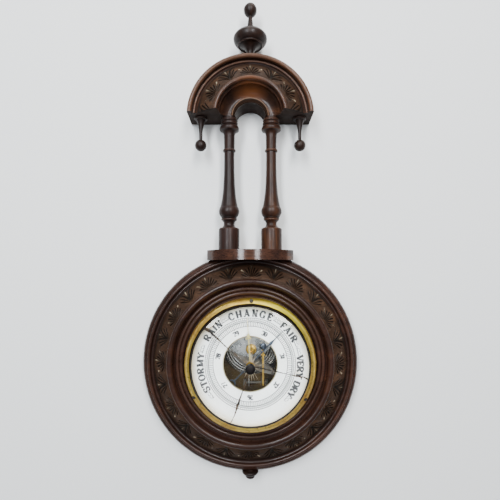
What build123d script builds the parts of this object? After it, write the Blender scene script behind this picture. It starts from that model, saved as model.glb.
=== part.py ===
from build123d import *
from math import atan2, cos, degrees, hypot, radians, sin
import os

# Aneroid barometer in a carved walnut case, hung on a wall. Millimetres.
# +Z is up, the face looks along -Y, and the wall is the plane Y = 0.
# The origin is the centre of the hole in the hanger plate, on the wall plane.
# "depth" is the distance in front of the wall. Heights are measured from the dial's centre.

# ---- driving dimensions -------------------------------------------------------------------
HANG_HEIGHT = 300.0  # hanger hole above the dial's centre
HANGER_SCREW_X = 17.0
HANGER_THICK = 1.6

FRAME_R = 117.2  # carved ring that holds the dial
FRAME_BACK_R = 115.2
RIM_BULGE_R = 117.5  # furthest reach of the rim's moulding
CASE_HOLE_R = 63.6
LEDGE_DEPTH = 28.4

PEDIMENT_R = 68.9  # half ring at the top
PEDIMENT_BORE_R = 17.6
PEDIMENT_CENTRE = 264.9  # height of the half ring's own centre
PEDIMENT_CUT = 268.6  # height of its flat underside

SHELF_TOP = 119.6
SHELF_BOTTOM = 108.6
SHELF_HALF = 47.4
SHELF_END_DEPTH = 20.0
SHELF_BOW_DEPTH = 44.0

SHELF_SCREW_X = 12.0
SHELF_SCREW_DEPTH = 12.0

TURNING_DEPTH = 19.0  # axis of the columns, drops and finial
COLUMN_X = 23.4
DROP_X = 55.4
BOTTOM_DROP_DEPTH = 13.0
TENON_R = 3.0
TENON_LENGTH = 8.0
TOP_TENON_LENGTH = 6.0
TOP_TENON_DEPTH = 16.0  # the tenons under the arch stand a little behind the turned axis
DROP_TENON_LENGTH = 8.0
FINIAL_TENON_LENGTH = 10.0

CUP_R = 63.2  # brass drum that holds the movement
CUP_WALL = 1.0
CUP_BACK = 2.0
CUP_FLANGE_R = 68.0
BEZEL_R = 68.5
BEZEL_LIP_R = 61.4
BEZEL_TOP = 44.6
BEZEL_SCREW_R = 65.7
GLASS_R = 62.6
GLASS_BACK = 40.4
GLASS_FRONT = 43.0
GLASS_HOLE_R = 3.2
CASE_SCREW_ANGLES = (1, 121, 241)  # the three screws through the bezel
BEVEL_WIDTH = 6.0  # ground bevel round the pane

DIAL_R = 64.2
DIAL_HOLE_R = 28.8
DIAL_BACK = 31.0
DIAL_FRONT = 32.2

BASE_SCREW_ANGLES = (40, 160, 280)
BASE_SCREW_R = 40.0
BASE_FRONT = 5.0  # front face of the movement's base plate
CAPSULE_X = 1.0
CAPSULE_Z = 14.7
CAPSULE_R = 31.0
CAPSULE_BACK = 7.2
CAPSULE_MID = 11.4
CAPSULE_TOP = 15.6
SPRING_THICK = 1.2
SPRING_LOW = 20.0
SPRING_HIGH = 28.0
SPRING_BEND_Z = 50.0
BRIDGE_Z = 44.0  # bridge that the mainspring is clamped to
BRIDGE_DEPTH = 17.5
BRIDGE_LEG_X = 33.0
CLAMP_X = 10.0
LEVER_X = 13.4
LEVER_Z = 18.0
LEVER_END_Z = -21.0
LEVER_DEPTH = 30.0
ROCKER_Z = -26.0
ROCKER_DEPTH = 7.5
SHORT_ARM = 5.0  # driven by the link
LONG_ARM = 12.0  # pulls the chain
CHAIN_R = 1.5  # chain's centre line on the hand arbor's pulley
HAND_DEPTH = 34.6
HAND_ANGLE = 44.6  # clockwise from the top, in degrees
SET_HAND_DEPTH = 37.8
SET_HAND_ANGLE = -3.7
RUNNING = 0.05  # radial clearance of a running fit

os.makedirs("parts", exist_ok=True)


# ---- helpers ------------------------------------------------------------------------------
def front(depth, x=0.0, z=0.0):
    """Sketch plane facing the viewer: local x is +X and local y is +Z."""
    return Plane(origin=(x, -depth, z - HANG_HEIGHT), x_dir=(1, 0, 0), z_dir=(0, -1, 0))


def dial_plane(depth, angle):
    """Sketch plane over the dial's centre whose local y points at a clockwise angle from the top."""
    turn = radians(angle)
    return Plane(origin=(0, -depth, -HANG_HEIGHT), x_dir=(cos(turn), 0, -sin(turn)), z_dir=(0, -1, 0))


def section(x=0.0, z=0.0):
    """Plane of a radius-and-depth profile turned about the line through (x, z) along Y."""
    return Plane(origin=(x, 0, z - HANG_HEIGHT), x_dir=(1, 0, 0), z_dir=(0, 0, -1))


def face_axis(x=0.0, z=0.0):
    return Axis((x, 0, z - HANG_HEIGHT), (0, -1, 0))


def across(x, depth, z):
    """Sketch plane facing -X: local x is towards the viewer and local y is up."""
    return Plane(origin=(x, -depth, z - HANG_HEIGHT), x_dir=(0, -1, 0), z_dir=(-1, 0, 0))


def upright(x):
    """Plane of a radius-and-height profile turned about a vertical axis at x."""
    return Plane(origin=(x, -TURNING_DEPTH, -HANG_HEIGHT), x_dir=(1, 0, 0), z_dir=(0, -1, 0))


def upright_axis(x):
    return Axis((x, -TURNING_DEPTH, 0), (0, 0, 1))


def clock(radius, angle):
    """Point at a clockwise angle from the top of the dial."""
    return radius * sin(radians(angle)), radius * cos(radians(angle))


def rod(radius, low, high, x=0.0, z=0.0):
    """Cylinder along Y between two depths, for use inside a part."""
    with BuildSketch(front(low, x, z)) as disc:
        Circle(radius)
    extrude(disc.sketch, amount=high - low)


def bore(radius, low, high, x=0.0, z=0.0):
    """Hole along Y between two depths, for use inside a part."""
    with BuildSketch(front(low, x, z)) as disc:
        Circle(radius)
    extrude(disc.sketch, amount=high - low, mode=Mode.SUBTRACT)


def save(part, name):
    part.label = name
    export_step(part, f"parts/{name}.step")


# ---- wooden case --------------------------------------------------------------------------
with BuildPart() as dial_frame:
    with BuildSketch(section()):
        with BuildLine():
            Polyline((CASE_HOLE_R, LEDGE_DEPTH), (CASE_HOLE_R, 0), (FRAME_BACK_R, 0), (FRAME_BACK_R, 7.5))
            Line((FRAME_BACK_R, 7.5), (FRAME_R, 10))
            ThreePointArc((FRAME_R, 10), (116.4, 15.6), (112.6, 18.6))
            Polyline((112.6, 18.6), (112.3, 17.9), (112.0, 18.5))
            ThreePointArc((112.0, 18.5), (110.2, 20.3), (108.4, 18.5))
            ThreePointArc((108.4, 18.5), (106.4, 16.8), (104.4, 18.4))
            ThreePointArc((104.4, 18.4), (96.8, 25.4), (88.4, 30.6))
            ThreePointArc((88.4, 30.6), (85.2, 33.0), (82.0, 30.6))
            ThreePointArc((82.0, 30.6), (81.4, 27.8), (79.6, 25.8))
            ThreePointArc((79.6, 25.8), (77.6, 27.8), (75.7, 26.0))
            ThreePointArc((75.7, 26.0), (73.4, 28.4), (71.1, 26.4))
            Polyline((71.1, 26.4), (69.6, LEDGE_DEPTH), (CASE_HOLE_R, LEDGE_DEPTH))
        make_face()
    revolve(axis=face_axis())
    # flat seat for the shelf
    with BuildSketch(front(0, 0, SHELF_BOTTOM + 10)):
        Rectangle(2 * SHELF_HALF + 0.4, 20)
    extrude(amount=60, mode=Mode.SUBTRACT)
    # holes for the three bezel screws, the shelf screws and the bottom drop's tenon
    for angle in CASE_SCREW_ANGLES:
        bore(0.9, 16, LEDGE_DEPTH, *clock(BEZEL_SCREW_R, angle))
    for x in (-SHELF_SCREW_X, SHELF_SCREW_X):
        with Locations(Plane(origin=(x, -SHELF_SCREW_DEPTH, SHELF_BOTTOM - HANG_HEIGHT))):
            Hole(1.6, 12)
    with BuildSketch(Plane(origin=(0, -BOTTOM_DROP_DEPTH, -FRAME_R - 2 - HANG_HEIGHT))):
        Circle(TENON_R)
    extrude(amount=12, mode=Mode.SUBTRACT)
save(dial_frame.part, "dial_frame")

with BuildPart() as pediment:
    with BuildSketch(section(0, PEDIMENT_CENTRE)):
        with BuildLine():
            Polyline((17.6, 26.8), (PEDIMENT_BORE_R, 0), (PEDIMENT_R, 0), (PEDIMENT_R, 35.6))
            ThreePointArc((PEDIMENT_R, 35.6), (67.2, 38.0), (64.0, 34.2))
            Polyline((64.0, 34.2), (63.6, 32.2), (62.8, 32.2))
            ThreePointArc((62.8, 32.2), (61.6, 33.4), (60.4, 32.2))
            Polyline((60.4, 32.2), (59.6, 31.6), (57.8, 33.2))
            ThreePointArc((57.8, 33.2), (48.6, 39.8), (39.6, 43.8))
            ThreePointArc((39.6, 43.8), (37.4, 45.8), (35.4, 43.4))
            Polyline((35.4, 43.4), (35.2, 40.0), (33.8, 38.8))
            ThreePointArc((33.8, 38.8), (31.2, 28.4), (24.6, 24.4))
            ThreePointArc((24.6, 24.4), (20.6, 25.4), (18.6, 27.6))
            Line((18.6, 27.6), (17.6, 26.8))
        make_face()
    revolve(axis=face_axis(0, PEDIMENT_CENTRE))
    split(bisect_by=Plane.XY.offset(PEDIMENT_CUT - HANG_HEIGHT), keep=Keep.TOP)
    # sockets for the columns, the drops and the finial
    for x, length in ((COLUMN_X, TOP_TENON_LENGTH), (DROP_X, DROP_TENON_LENGTH)):
        for side in (-x, x):
            socket = Plane(origin=(side, -TOP_TENON_DEPTH, PEDIMENT_CUT - HANG_HEIGHT), z_dir=(0, 0, -1))
            with Locations(socket):
                Hole(TENON_R, length)
    with Locations(Plane(origin=(0, -TURNING_DEPTH, PEDIMENT_CENTRE + PEDIMENT_R - HANG_HEIGHT))):
        Hole(TENON_R, FINIAL_TENON_LENGTH)
    # recess for the hanger plate, with room behind it for the wall screw's head
    with BuildSketch(front(0, 0, HANG_HEIGHT)):
        RectangleRounded(44, 18, 3)
    extrude(amount=HANGER_THICK, mode=Mode.SUBTRACT)
    with BuildSketch(front(HANGER_THICK, 0, HANG_HEIGHT)):
        SlotOverall(22, 14)
    extrude(amount=12, mode=Mode.SUBTRACT)
    for x in (-HANGER_SCREW_X, HANGER_SCREW_X):
        bore(1.3, HANGER_THICK, 12, x, HANG_HEIGHT)
save(pediment.part, "pediment")

with BuildPart() as shelf:
    with BuildSketch(Plane.XY.offset(SHELF_BOTTOM - HANG_HEIGHT)):
        with BuildLine():
            left_end = (-SHELF_HALF, -SHELF_END_DEPTH)
            right_end = (SHELF_HALF, -SHELF_END_DEPTH)
            Polyline(left_end, (-SHELF_HALF, 0), (SHELF_HALF, 0), right_end)
            ThreePointArc(left_end, (0, -SHELF_BOW_DEPTH), right_end)
        make_face()
    extrude(amount=SHELF_TOP - SHELF_BOTTOM)
    fillet(shelf.edges().filter_by(Axis.Z).group_by(Axis.Y)[0], 3)
    for x in (-COLUMN_X, COLUMN_X):
        with Locations(Plane(origin=(x, -TURNING_DEPTH, SHELF_TOP - HANG_HEIGHT))):
            Hole(TENON_R, TENON_LENGTH)
    for x in (-SHELF_SCREW_X, SHELF_SCREW_X):
        with Locations(Plane(origin=(x, -SHELF_SCREW_DEPTH, SHELF_TOP - HANG_HEIGHT))):
            CounterSinkHole(2.0, 4.2, 12)
save(shelf.part, "shelf")


def column(x):
    with BuildPart() as turned:
        with BuildSketch(upright(x)):
            with BuildLine():
                foot = SHELF_TOP - TENON_LENGTH
                Polyline((0, foot), (TENON_R, foot), (TENON_R, SHELF_TOP), (11.4, SHELF_TOP), (11.4, 142.6))
                Polyline((11.4, 142.6), (10.4, 144.0), (8.2, 144.6))
                ThreePointArc((8.2, 144.6), (5.9, 149.4), (8.0, 152.4))
                Line((8.0, 152.4), (8.5, 153.2))
                Polyline((8.5, 153.2), (8.5, 155.6), (9.0, 156.6))
                ThreePointArc((9.0, 156.6), (11.1, 160.6), (9.7, 167.6))
                shaft = [(9.7, 167.6), (7.7, 178.6), (6.4, 191), (5.7, 213), (5.7, 229.2)]
                Spline(*shaft, tangents=((-0.3, 1), (0, 1)))
                ThreePointArc((5.7, 229.2), (7.2, 230.8), (5.8, 232.4))
                Line((5.8, 232.4), (6.0, 248))
                ThreePointArc((6.0, 248), (7.4, 251.6), (10.4, 253.6))
                ThreePointArc((10.4, 253.6), (10.8, 256.4), (8.6, 259.0))
                ThreePointArc((8.6, 259.0), (9.6, 261.4), (8.6, 263.4))
                ThreePointArc((8.6, 263.4), (9.3, 265.2), (8.0, 266.8))
                Polyline((8.0, 266.8), (8.0, PEDIMENT_CUT), (0, PEDIMENT_CUT), (0, foot))
            make_face()
        revolve(axis=upright_axis(x))
        with BuildSketch(Plane(origin=(x, -TOP_TENON_DEPTH, PEDIMENT_CUT - HANG_HEIGHT))):
            Circle(TENON_R)
        extrude(amount=TOP_TENON_LENGTH)
    return turned.part


def drop(x):
    ball_r, ball_z, neck_r = 6.45, 237.0, 1.8
    ball_top = ball_z + (ball_r**2 - neck_r**2) ** 0.5
    with BuildPart() as turned:
        with BuildSketch(upright(x)):
            with BuildLine():
                Polyline((0, PEDIMENT_CUT), (6.6, PEDIMENT_CUT), (7.3, 267.8))
                ThreePointArc((7.3, 267.8), (7.2, 266.6), (5.2, 265.8))
                ThreePointArc((5.2, 265.8), (3.2, 259.5), (1.9, 250.6))
                Line((1.9, 250.6), (neck_r, ball_top))
                ThreePointArc((neck_r, ball_top), (ball_r, ball_z), (0, ball_z - ball_r))
                Line((0, ball_z - ball_r), (0, PEDIMENT_CUT))
            make_face()
        revolve(axis=upright_axis(x))
        with BuildSketch(Plane(origin=(x, -TOP_TENON_DEPTH, PEDIMENT_CUT - HANG_HEIGHT))):
            Circle(TENON_R)
        extrude(amount=DROP_TENON_LENGTH)
    return turned.part


for side, sign in (("left", -1), ("right", 1)):
    save(column(sign * COLUMN_X), f"column_{side}")
    save(drop(sign * DROP_X), f"drop_{side}")

with BuildPart() as top_finial:
    crown = PEDIMENT_CENTRE + PEDIMENT_R
    tenon_foot = crown - FINIAL_TENON_LENGTH
    with BuildSketch(upright(0)):
        with BuildLine():
            Polyline((0, tenon_foot), (TENON_R, tenon_foot), (TENON_R, crown))
            Polyline((TENON_R, crown), (5.2, crown), (4.6, crown + 1.6))
            ThreePointArc((4.6, crown + 1.6), (4.4, 345), (12.6, 352.2))
            ThreePointArc((12.6, 352.2), (13.8, 351.6), (14.6, 352.8))
            ThreePointArc((14.6, 352.8), (18.6, 357), (18.8, 362))
            ThreePointArc((18.8, 362), (13.0, 367.4), (5.2, 369.0))
            ThreePointArc((5.2, 369.0), (3.2, 377), (2.3, 386.8))
            ThreePointArc((2.3, 386.8), (7.5, 394.2), (0.6, 402.4))
            Polyline((0.6, 402.4), (0, 402.4), (0, tenon_foot))
        make_face()
    revolve(axis=upright_axis(0))
save(top_finial.part, "top_finial")

with BuildPart() as bottom_drop:
    with BuildSketch(front(BOTTOM_DROP_DEPTH)):
        with BuildLine():
            Polyline((0, -112), (7.4, -112), (8.0, -117.2), (8.8, -118.2))
            ThreePointArc((8.8, -118.2), (7.6, -120.6), (4.8, -121.4))
            Polyline((4.8, -121.4), (4.8, -124.2), (3.8, -125.2), (0, -125.2), (0, -112))
        make_face()
    revolve(axis=Axis((0, -BOTTOM_DROP_DEPTH, 0), (0, 0, 1)))
    # the shoulder is scooped to sit on the ring's rim
    bore(RIM_BULGE_R, 0, 30)
    with BuildSketch(Plane(origin=(0, -BOTTOM_DROP_DEPTH, -FRAME_R - 2 - HANG_HEIGHT))):
        Circle(TENON_R)
    extrude(amount=12)
save(bottom_drop.part, "bottom_drop")

# ---- hanger and wood screws ---------------------------------------------------------------
with BuildPart() as hanger_plate:
    with BuildSketch(front(0, 0, HANG_HEIGHT)):
        RectangleRounded(44, 18, 3)
        Circle(3.5, mode=Mode.SUBTRACT)
        with Locations((-HANGER_SCREW_X, 0), (HANGER_SCREW_X, 0)):
            Circle(1.3, mode=Mode.SUBTRACT)
    extrude(amount=HANGER_THICK)
    for x in (-HANGER_SCREW_X, HANGER_SCREW_X):
        with BuildSketch(front(0, x, HANG_HEIGHT)):
            Circle(2.9)
        extrude(amount=1.5, taper=45, mode=Mode.SUBTRACT)
save(hanger_plate.part, "hanger_plate")

with BuildPart() as hanger_screws:
    for x in (-HANGER_SCREW_X, HANGER_SCREW_X):
        with BuildSketch(front(0.1, x, HANG_HEIGHT)):
            Circle(2.7)
        extrude(amount=1.4, taper=45)
        rod(1.3, 1.5, 12, x, HANG_HEIGHT)
        with BuildSketch(front(0, x, HANG_HEIGHT)):
            Rectangle(6, 0.7)
        extrude(amount=0.8, mode=Mode.SUBTRACT)
save(hanger_screws.part, "hanger_screws")

with BuildPart() as shelf_screws:
    for x in (-SHELF_SCREW_X, SHELF_SCREW_X):
        head = Plane(origin=(x, -SHELF_SCREW_DEPTH, SHELF_TOP - HANG_HEIGHT))
        with BuildSketch(head):
            Circle(4.1)
        extrude(amount=-2.2, taper=45)
        with BuildSketch(head):
            Circle(1.9)
        extrude(amount=SHELF_BOTTOM - SHELF_TOP)
        with BuildSketch(head.offset(SHELF_BOTTOM - SHELF_TOP)):
            Circle(1.55)
        extrude(amount=-12)
        with BuildSketch(head):
            Rectangle(8.4, 0.8)
        extrude(amount=-0.9, mode=Mode.SUBTRACT)
save(shelf_screws.part, "shelf_screws")

# ---- brass drum, bezel and broken glass ---------------------------------------------------
with BuildPart() as case_cup:
    with BuildSketch(section()):
        with BuildLine():
            Polyline(
                (0, CUP_BACK),
                (CUP_R, CUP_BACK),
                (CUP_R, LEDGE_DEPTH),
                (CUP_FLANGE_R, LEDGE_DEPTH),
                (CUP_FLANGE_R, LEDGE_DEPTH + CUP_WALL),
                (CUP_R - CUP_WALL, LEDGE_DEPTH + CUP_WALL),
                (CUP_R - CUP_WALL, CUP_BACK + CUP_WALL),
                (0, CUP_BACK + CUP_WALL),
                close=True,
            )
        make_face()
    revolve(axis=face_axis())
    bore(4.2, 0, 4, CAPSULE_X, CAPSULE_Z)
    for angle in BASE_SCREW_ANGLES:
        bore(1.2, 0, 4, *clock(BASE_SCREW_R, angle))
    for angle in CASE_SCREW_ANGLES:
        bore(1.1, LEDGE_DEPTH - 1, LEDGE_DEPTH + 2, *clock(BEZEL_SCREW_R, angle))
save(case_cup.part, "case_cup")

with BuildPart() as bezel:
    with BuildSketch(section()):
        with BuildLine():
            seat = LEDGE_DEPTH + CUP_WALL
            Polyline((67.4, seat), (BEZEL_R, seat), (BEZEL_R, 36.5))
            ThreePointArc((BEZEL_R, 36.5), (66.4, 41.3), (62.4, BEZEL_TOP))
            Polyline((62.4, BEZEL_TOP), (BEZEL_LIP_R, BEZEL_TOP), (BEZEL_LIP_R, GLASS_FRONT + 0.4))
            Polyline((BEZEL_LIP_R, GLASS_FRONT + 0.4), (GLASS_R + 0.2, GLASS_FRONT + 0.1))
            Polyline((GLASS_R + 0.2, GLASS_FRONT + 0.1), (GLASS_R + 0.2, 39.2), (67.4, 32.6), (67.4, seat))
        make_face()
    revolve(axis=face_axis())
    for angle in CASE_SCREW_ANGLES:
        bore(1.1, 30, 50, *clock(BEZEL_SCREW_R, angle))
        bore(2.1, 37.9, 50, *clock(BEZEL_SCREW_R, angle))
save(bezel.part, "bezel")

with BuildPart() as bezel_screws:
    for angle in CASE_SCREW_ANGLES:
        x, z = clock(BEZEL_SCREW_R, angle)
        rod(0.9, 18, 38, x, z)
        rod(2.0, 37.9, 39.7, x, z)
        with BuildSketch(front(39.2, x, z)):
            Rectangle(6, 0.7, rotation=30 - angle)
        extrude(amount=2, mode=Mode.SUBTRACT)
save(bezel_screws.part, "bezel_screws")

with BuildPart() as glass_ring:
    with BuildSketch(front(39.3)):
        Circle(GLASS_R)
        Circle(GLASS_R - 1.2, mode=Mode.SUBTRACT)
    extrude(amount=1.0)
save(glass_ring.part, "glass_ring")

# each crack runs from the centre hole to the rim: (radius, clockwise angle, half gap)
CRACKS = (
    ((0, 0, 0.15), (30, -52.0, 0.2), (54, -50.0, 0.35), (57, -50.4, 0.9), (66, -50.6, 1.7)),
    ((0, 0, 0.15), (28, 101.5, 0.15), (48, 102, 0.15), (56, 101.5, 0.18), (60, 103, 0.15), (66, 102, 0.15)),
    ((0, 0, 0.15), (18, 196.0, 0.15), (42, 198.5, 0.32), (50, 198.0, 0.2), (66, 200.0, 0.15)),
)

with BuildPart() as glass:
    with BuildSketch(section()):
        with BuildLine():
            Polyline(
                (GLASS_HOLE_R, GLASS_BACK),
                (GLASS_R, GLASS_BACK),
                (GLASS_R, GLASS_FRONT - 0.9),
                (GLASS_R - BEVEL_WIDTH, GLASS_FRONT),
                (GLASS_HOLE_R, GLASS_FRONT),
                close=True,
            )
        make_face()
    revolve(axis=face_axis())
    for crack in CRACKS:
        points = [(*clock(r, a), half) for r, a, half in crack]
        right_side = []
        left_side = []
        for i, (x, z, half) in enumerate(points):
            ahead = points[min(i + 1, len(points) - 1)]
            behind = points[max(i - 1, 0)]
            run = hypot(ahead[0] - behind[0], ahead[1] - behind[1])
            nx, nz = (ahead[1] - behind[1]) / run, -(ahead[0] - behind[0]) / run
            right_side.append((x + half * nx, z + half * nz))
            left_side.append((x - half * nx, z - half * nz))
        with BuildSketch(front(GLASS_BACK - 1)):
            with BuildLine():
                Polyline(*right_side, *reversed(left_side), close=True)
            make_face()
        extrude(amount=5, mode=Mode.SUBTRACT)

# the three shards, named by where each one lies
for shard in glass.part.solids():
    middle = shard.center()
    bearing = degrees(atan2(middle.X, middle.Z + HANG_HEIGHT)) % 360
    place = "upper" if bearing < 102 else "lower" if bearing < 200 else "left"
    save(shard, f"glass_{place}")

with BuildPart() as glass_bush:
    rod(GLASS_HOLE_R - 0.1, 39.6, GLASS_FRONT + 1)
    rod(4.4, GLASS_FRONT, GLASS_FRONT + 1)
    rod(4.2, 39.4, GLASS_BACK)
    bore(1.5 + RUNNING, 39, 45)
save(glass_bush.part, "glass_bush")

# ---- dial ---------------------------------------------------------------------------------
with BuildPart() as dial:
    with BuildSketch(front(DIAL_BACK)):
        Circle(DIAL_R)
        Circle(DIAL_HOLE_R, mode=Mode.SUBTRACT)
    extrude(amount=DIAL_FRONT - DIAL_BACK)
save(dial.part, "dial")

with BuildPart() as dial_centre_rim:
    with BuildSketch(front(DIAL_BACK)):
        Circle(DIAL_HOLE_R)
        Circle(DIAL_HOLE_R - 0.8, mode=Mode.SUBTRACT)
    extrude(amount=1.8)
save(dial_centre_rim.part, "dial_centre_rim")

with BuildPart() as dial_pillars:
    for angle in (60, 180, 300):
        rod(2.0, BASE_FRONT, DIAL_BACK, *clock(50, angle))
save(dial_pillars.part, "dial_pillars")

# ---- hands --------------------------------------------------------------------------------
def tapered(near, far, near_half, far_half):
    """Straight tapering blade along local +y, for use inside a sketch."""
    with BuildLine() as outline:
        Polyline((-near_half, near), (near_half, near), (far_half, far), (-far_half, far), close=True)
    make_face(outline.edges())


with BuildPart() as set_hand:
    with BuildSketch(dial_plane(SET_HAND_DEPTH, SET_HAND_ANGLE)):
        Circle(3.0)
        tapered(0, 49.5, 0.9, 0.25)
        with Locations((0, 29.5)):
            Ellipse(1.7, 2.6)
        with Locations((-2.1, 27.2), (2.1, 27.2)):
            Circle(0.8)
        with Locations((0, 27.4)):
            Rectangle(4.4, 0.9)
        Circle(1.5, mode=Mode.SUBTRACT)
    extrude(amount=0.6)
save(set_hand.part, "set_hand")

with BuildPart() as set_knob:
    rod(1.5, 37.6, 44.4)
    with BuildSketch(section()):
        with BuildLine():
            Polyline((0, 44.4), (3.2, 44.4), (2.8, 49.0), (4.4, 51.2))
            ThreePointArc((4.4, 51.2), (5.1, 55.0), (4.4, 58.2))
            ThreePointArc((4.4, 58.2), (2.8, 59.1), (0.6, 59.4))
            Polyline((0.6, 59.4), (0, 59.4), (0, 44.4))
        make_face()
    revolve(axis=face_axis())
save(set_knob.part, "set_knob")

with BuildPart() as indicating_hand:
    with BuildSketch(dial_plane(HAND_DEPTH, HAND_ANGLE)):
        Circle(3.0)
        tapered(0, 31, 0.8, 0.5)
        with BuildLine():
            Polyline((-0.5, 27), (-1.6, 30), (-0.5, 35), (-0.2, 48.7), (0.2, 48.7))
            Polyline((0.2, 48.7), (0.5, 35), (1.6, 30), (0.5, 27), (-0.5, 27))
        make_face()
        tapered(-23.5, 0, 0.6, 0.8)
        # crescent at the tail
        with Locations((0, -27.0)):
            Circle(3.9)
        with Locations((0, -28.5)):
            Circle(3.8, mode=Mode.SUBTRACT)
        Circle(0.8, mode=Mode.SUBTRACT)
    extrude(amount=0.6)
save(indicating_hand.part.solids().sort_by(SortBy.VOLUME)[-1], "indicating_hand")

# ---- movement: base, capsule and mainspring -----------------------------------------------
STRAP_A = (-34.0, 27.5)  # far end of the arbor's bridge
STRAP_B = (24.2, -10.4)  # near end

with BuildPart() as base_plate:
    rod(56, CUP_BACK + CUP_WALL, BASE_FRONT)
    bore(2.0 + RUNNING, 0, 10, CAPSULE_X, CAPSULE_Z)
    for angle in BASE_SCREW_ANGLES:
        bore(1.2, 0, 10, *clock(BASE_SCREW_R, angle))
save(base_plate.part, "base_plate")

with BuildPart() as base_screws:
    for angle in BASE_SCREW_ANGLES:
        x, z = clock(BASE_SCREW_R, angle)
        rod(1.2, CUP_BACK, 4.8, x, z)
        rod(2.4, 0.6, CUP_BACK, x, z)
        with BuildSketch(front(0.6, x, z)):
            Rectangle(6, 0.6)
        extrude(amount=0.6, mode=Mode.SUBTRACT)
save(base_screws.part, "base_screws")


def diaphragm(centre_depth, rim_depth, wall):
    """Half of the vacuum capsule: a flat centre, eight ripples and a soldered rim."""
    flat_r, last_r, ripples = 8.0, 28.4, 8
    step = (last_r - flat_r) / ripples
    dip = centre_depth - (0.75 if centre_depth > rim_depth else -0.75)
    back = centre_depth - wall
    with BuildPart() as half:
        with BuildSketch(section(CAPSULE_X, CAPSULE_Z)):
            with BuildLine():
                Polyline((0, back), (0, centre_depth), (flat_r, centre_depth))
                for i in range(ripples):
                    r = flat_r + i * step
                    ThreePointArc((r, centre_depth), (r + step / 2, dip), (r + step, centre_depth))
                rim_top = rim_depth + wall
                Polyline((last_r, centre_depth), (CAPSULE_R - 1, rim_top), (CAPSULE_R, rim_top))
                Polyline((CAPSULE_R, rim_top), (CAPSULE_R, rim_depth), (last_r + 1, rim_depth))
                Line((last_r + 1, rim_depth), (last_r, back))
                for i in reversed(range(ripples)):
                    r = flat_r + i * step
                    ThreePointArc((r + step, back), (r + step / 2, dip - wall), (r, back))
                Line((flat_r, back), (0, back))
            make_face()
        revolve(axis=face_axis(CAPSULE_X, CAPSULE_Z))
    return half.part


save(diaphragm(CAPSULE_TOP, CAPSULE_MID, 0.5), "capsule_upper")
save(diaphragm(CAPSULE_BACK, CAPSULE_MID, -0.5), "capsule_lower")

with BuildPart() as capsule_stud:
    rod(4.0, BASE_FRONT, CAPSULE_BACK, CAPSULE_X, CAPSULE_Z)
    bore(2.0 + RUNNING, 4, 6.8, CAPSULE_X, CAPSULE_Z)
save(capsule_stud.part, "capsule_stud")

with BuildPart() as adjusting_screw:
    rod(3.6, 0.6, 2.6, CAPSULE_X, CAPSULE_Z)
    rod(2.0, 2.6, 6.4, CAPSULE_X, CAPSULE_Z)
    with BuildSketch(front(0.6, CAPSULE_X, CAPSULE_Z)):
        Rectangle(8, 0.9)
    extrude(amount=0.9, mode=Mode.SUBTRACT)
save(adjusting_screw.part, "adjusting_screw")

with BuildPart() as capsule_post:
    rod(3.4, CAPSULE_TOP + 0.8, CAPSULE_TOP + 3, CAPSULE_X, CAPSULE_Z)
    rod(2.2, CAPSULE_TOP + 3, SPRING_HIGH + 3.0, CAPSULE_X, CAPSULE_Z)
save(capsule_post.part, "capsule_post")

with BuildPart() as capsule_nut:
    with BuildSketch(section(CAPSULE_X, CAPSULE_Z)):
        with BuildLine():
            Polyline((2.2, 30.1), (5.5, 30.1), (5.5, 31.4))
            ThreePointArc((5.5, 31.4), (4.4, 32.6), (2.2, 33.0))
            Line((2.2, 33.0), (2.2, 30.1))
        make_face()
    revolve(axis=face_axis(CAPSULE_X, CAPSULE_Z))
    with BuildSketch(front(31.6, CAPSULE_X, CAPSULE_Z)):
        Rectangle(1.2, 12)
    extrude(amount=2, mode=Mode.SUBTRACT)
save(capsule_nut.part, "capsule_nut")

with BuildPart() as spring_bridge:
    with BuildSketch(front(BRIDGE_DEPTH, 0, BRIDGE_Z)):
        Rectangle(2 * BRIDGE_LEG_X + 8, 10)
    extrude(amount=SPRING_LOW - BRIDGE_DEPTH)
    for x in (-BRIDGE_LEG_X, BRIDGE_LEG_X):
        with BuildSketch(front(BASE_FRONT, x, BRIDGE_Z)):
            Rectangle(8, 10)
        extrude(amount=BRIDGE_DEPTH - BASE_FRONT)
        bore(1.2, 10, SPRING_LOW, x, BRIDGE_Z)
    for x in (-CLAMP_X, CLAMP_X):
        bore(1.2, BRIDGE_DEPTH, SPRING_LOW, x, BRIDGE_Z)
save(spring_bridge.part, "spring_bridge")

with BuildPart() as spring_bridge_screws:
    for x in (-BRIDGE_LEG_X, BRIDGE_LEG_X):
        rod(1.15, 10.5, SPRING_LOW, x, BRIDGE_Z)
        rod(2.6, SPRING_LOW, SPRING_LOW + 1.6, x, BRIDGE_Z)
        with BuildSketch(front(SPRING_LOW + 1.0, x, BRIDGE_Z)):
            Rectangle(6, 0.7, rotation=20)
        extrude(amount=1, mode=Mode.SUBTRACT)
save(spring_bridge_screws.part, "spring_bridge_screws")

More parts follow.
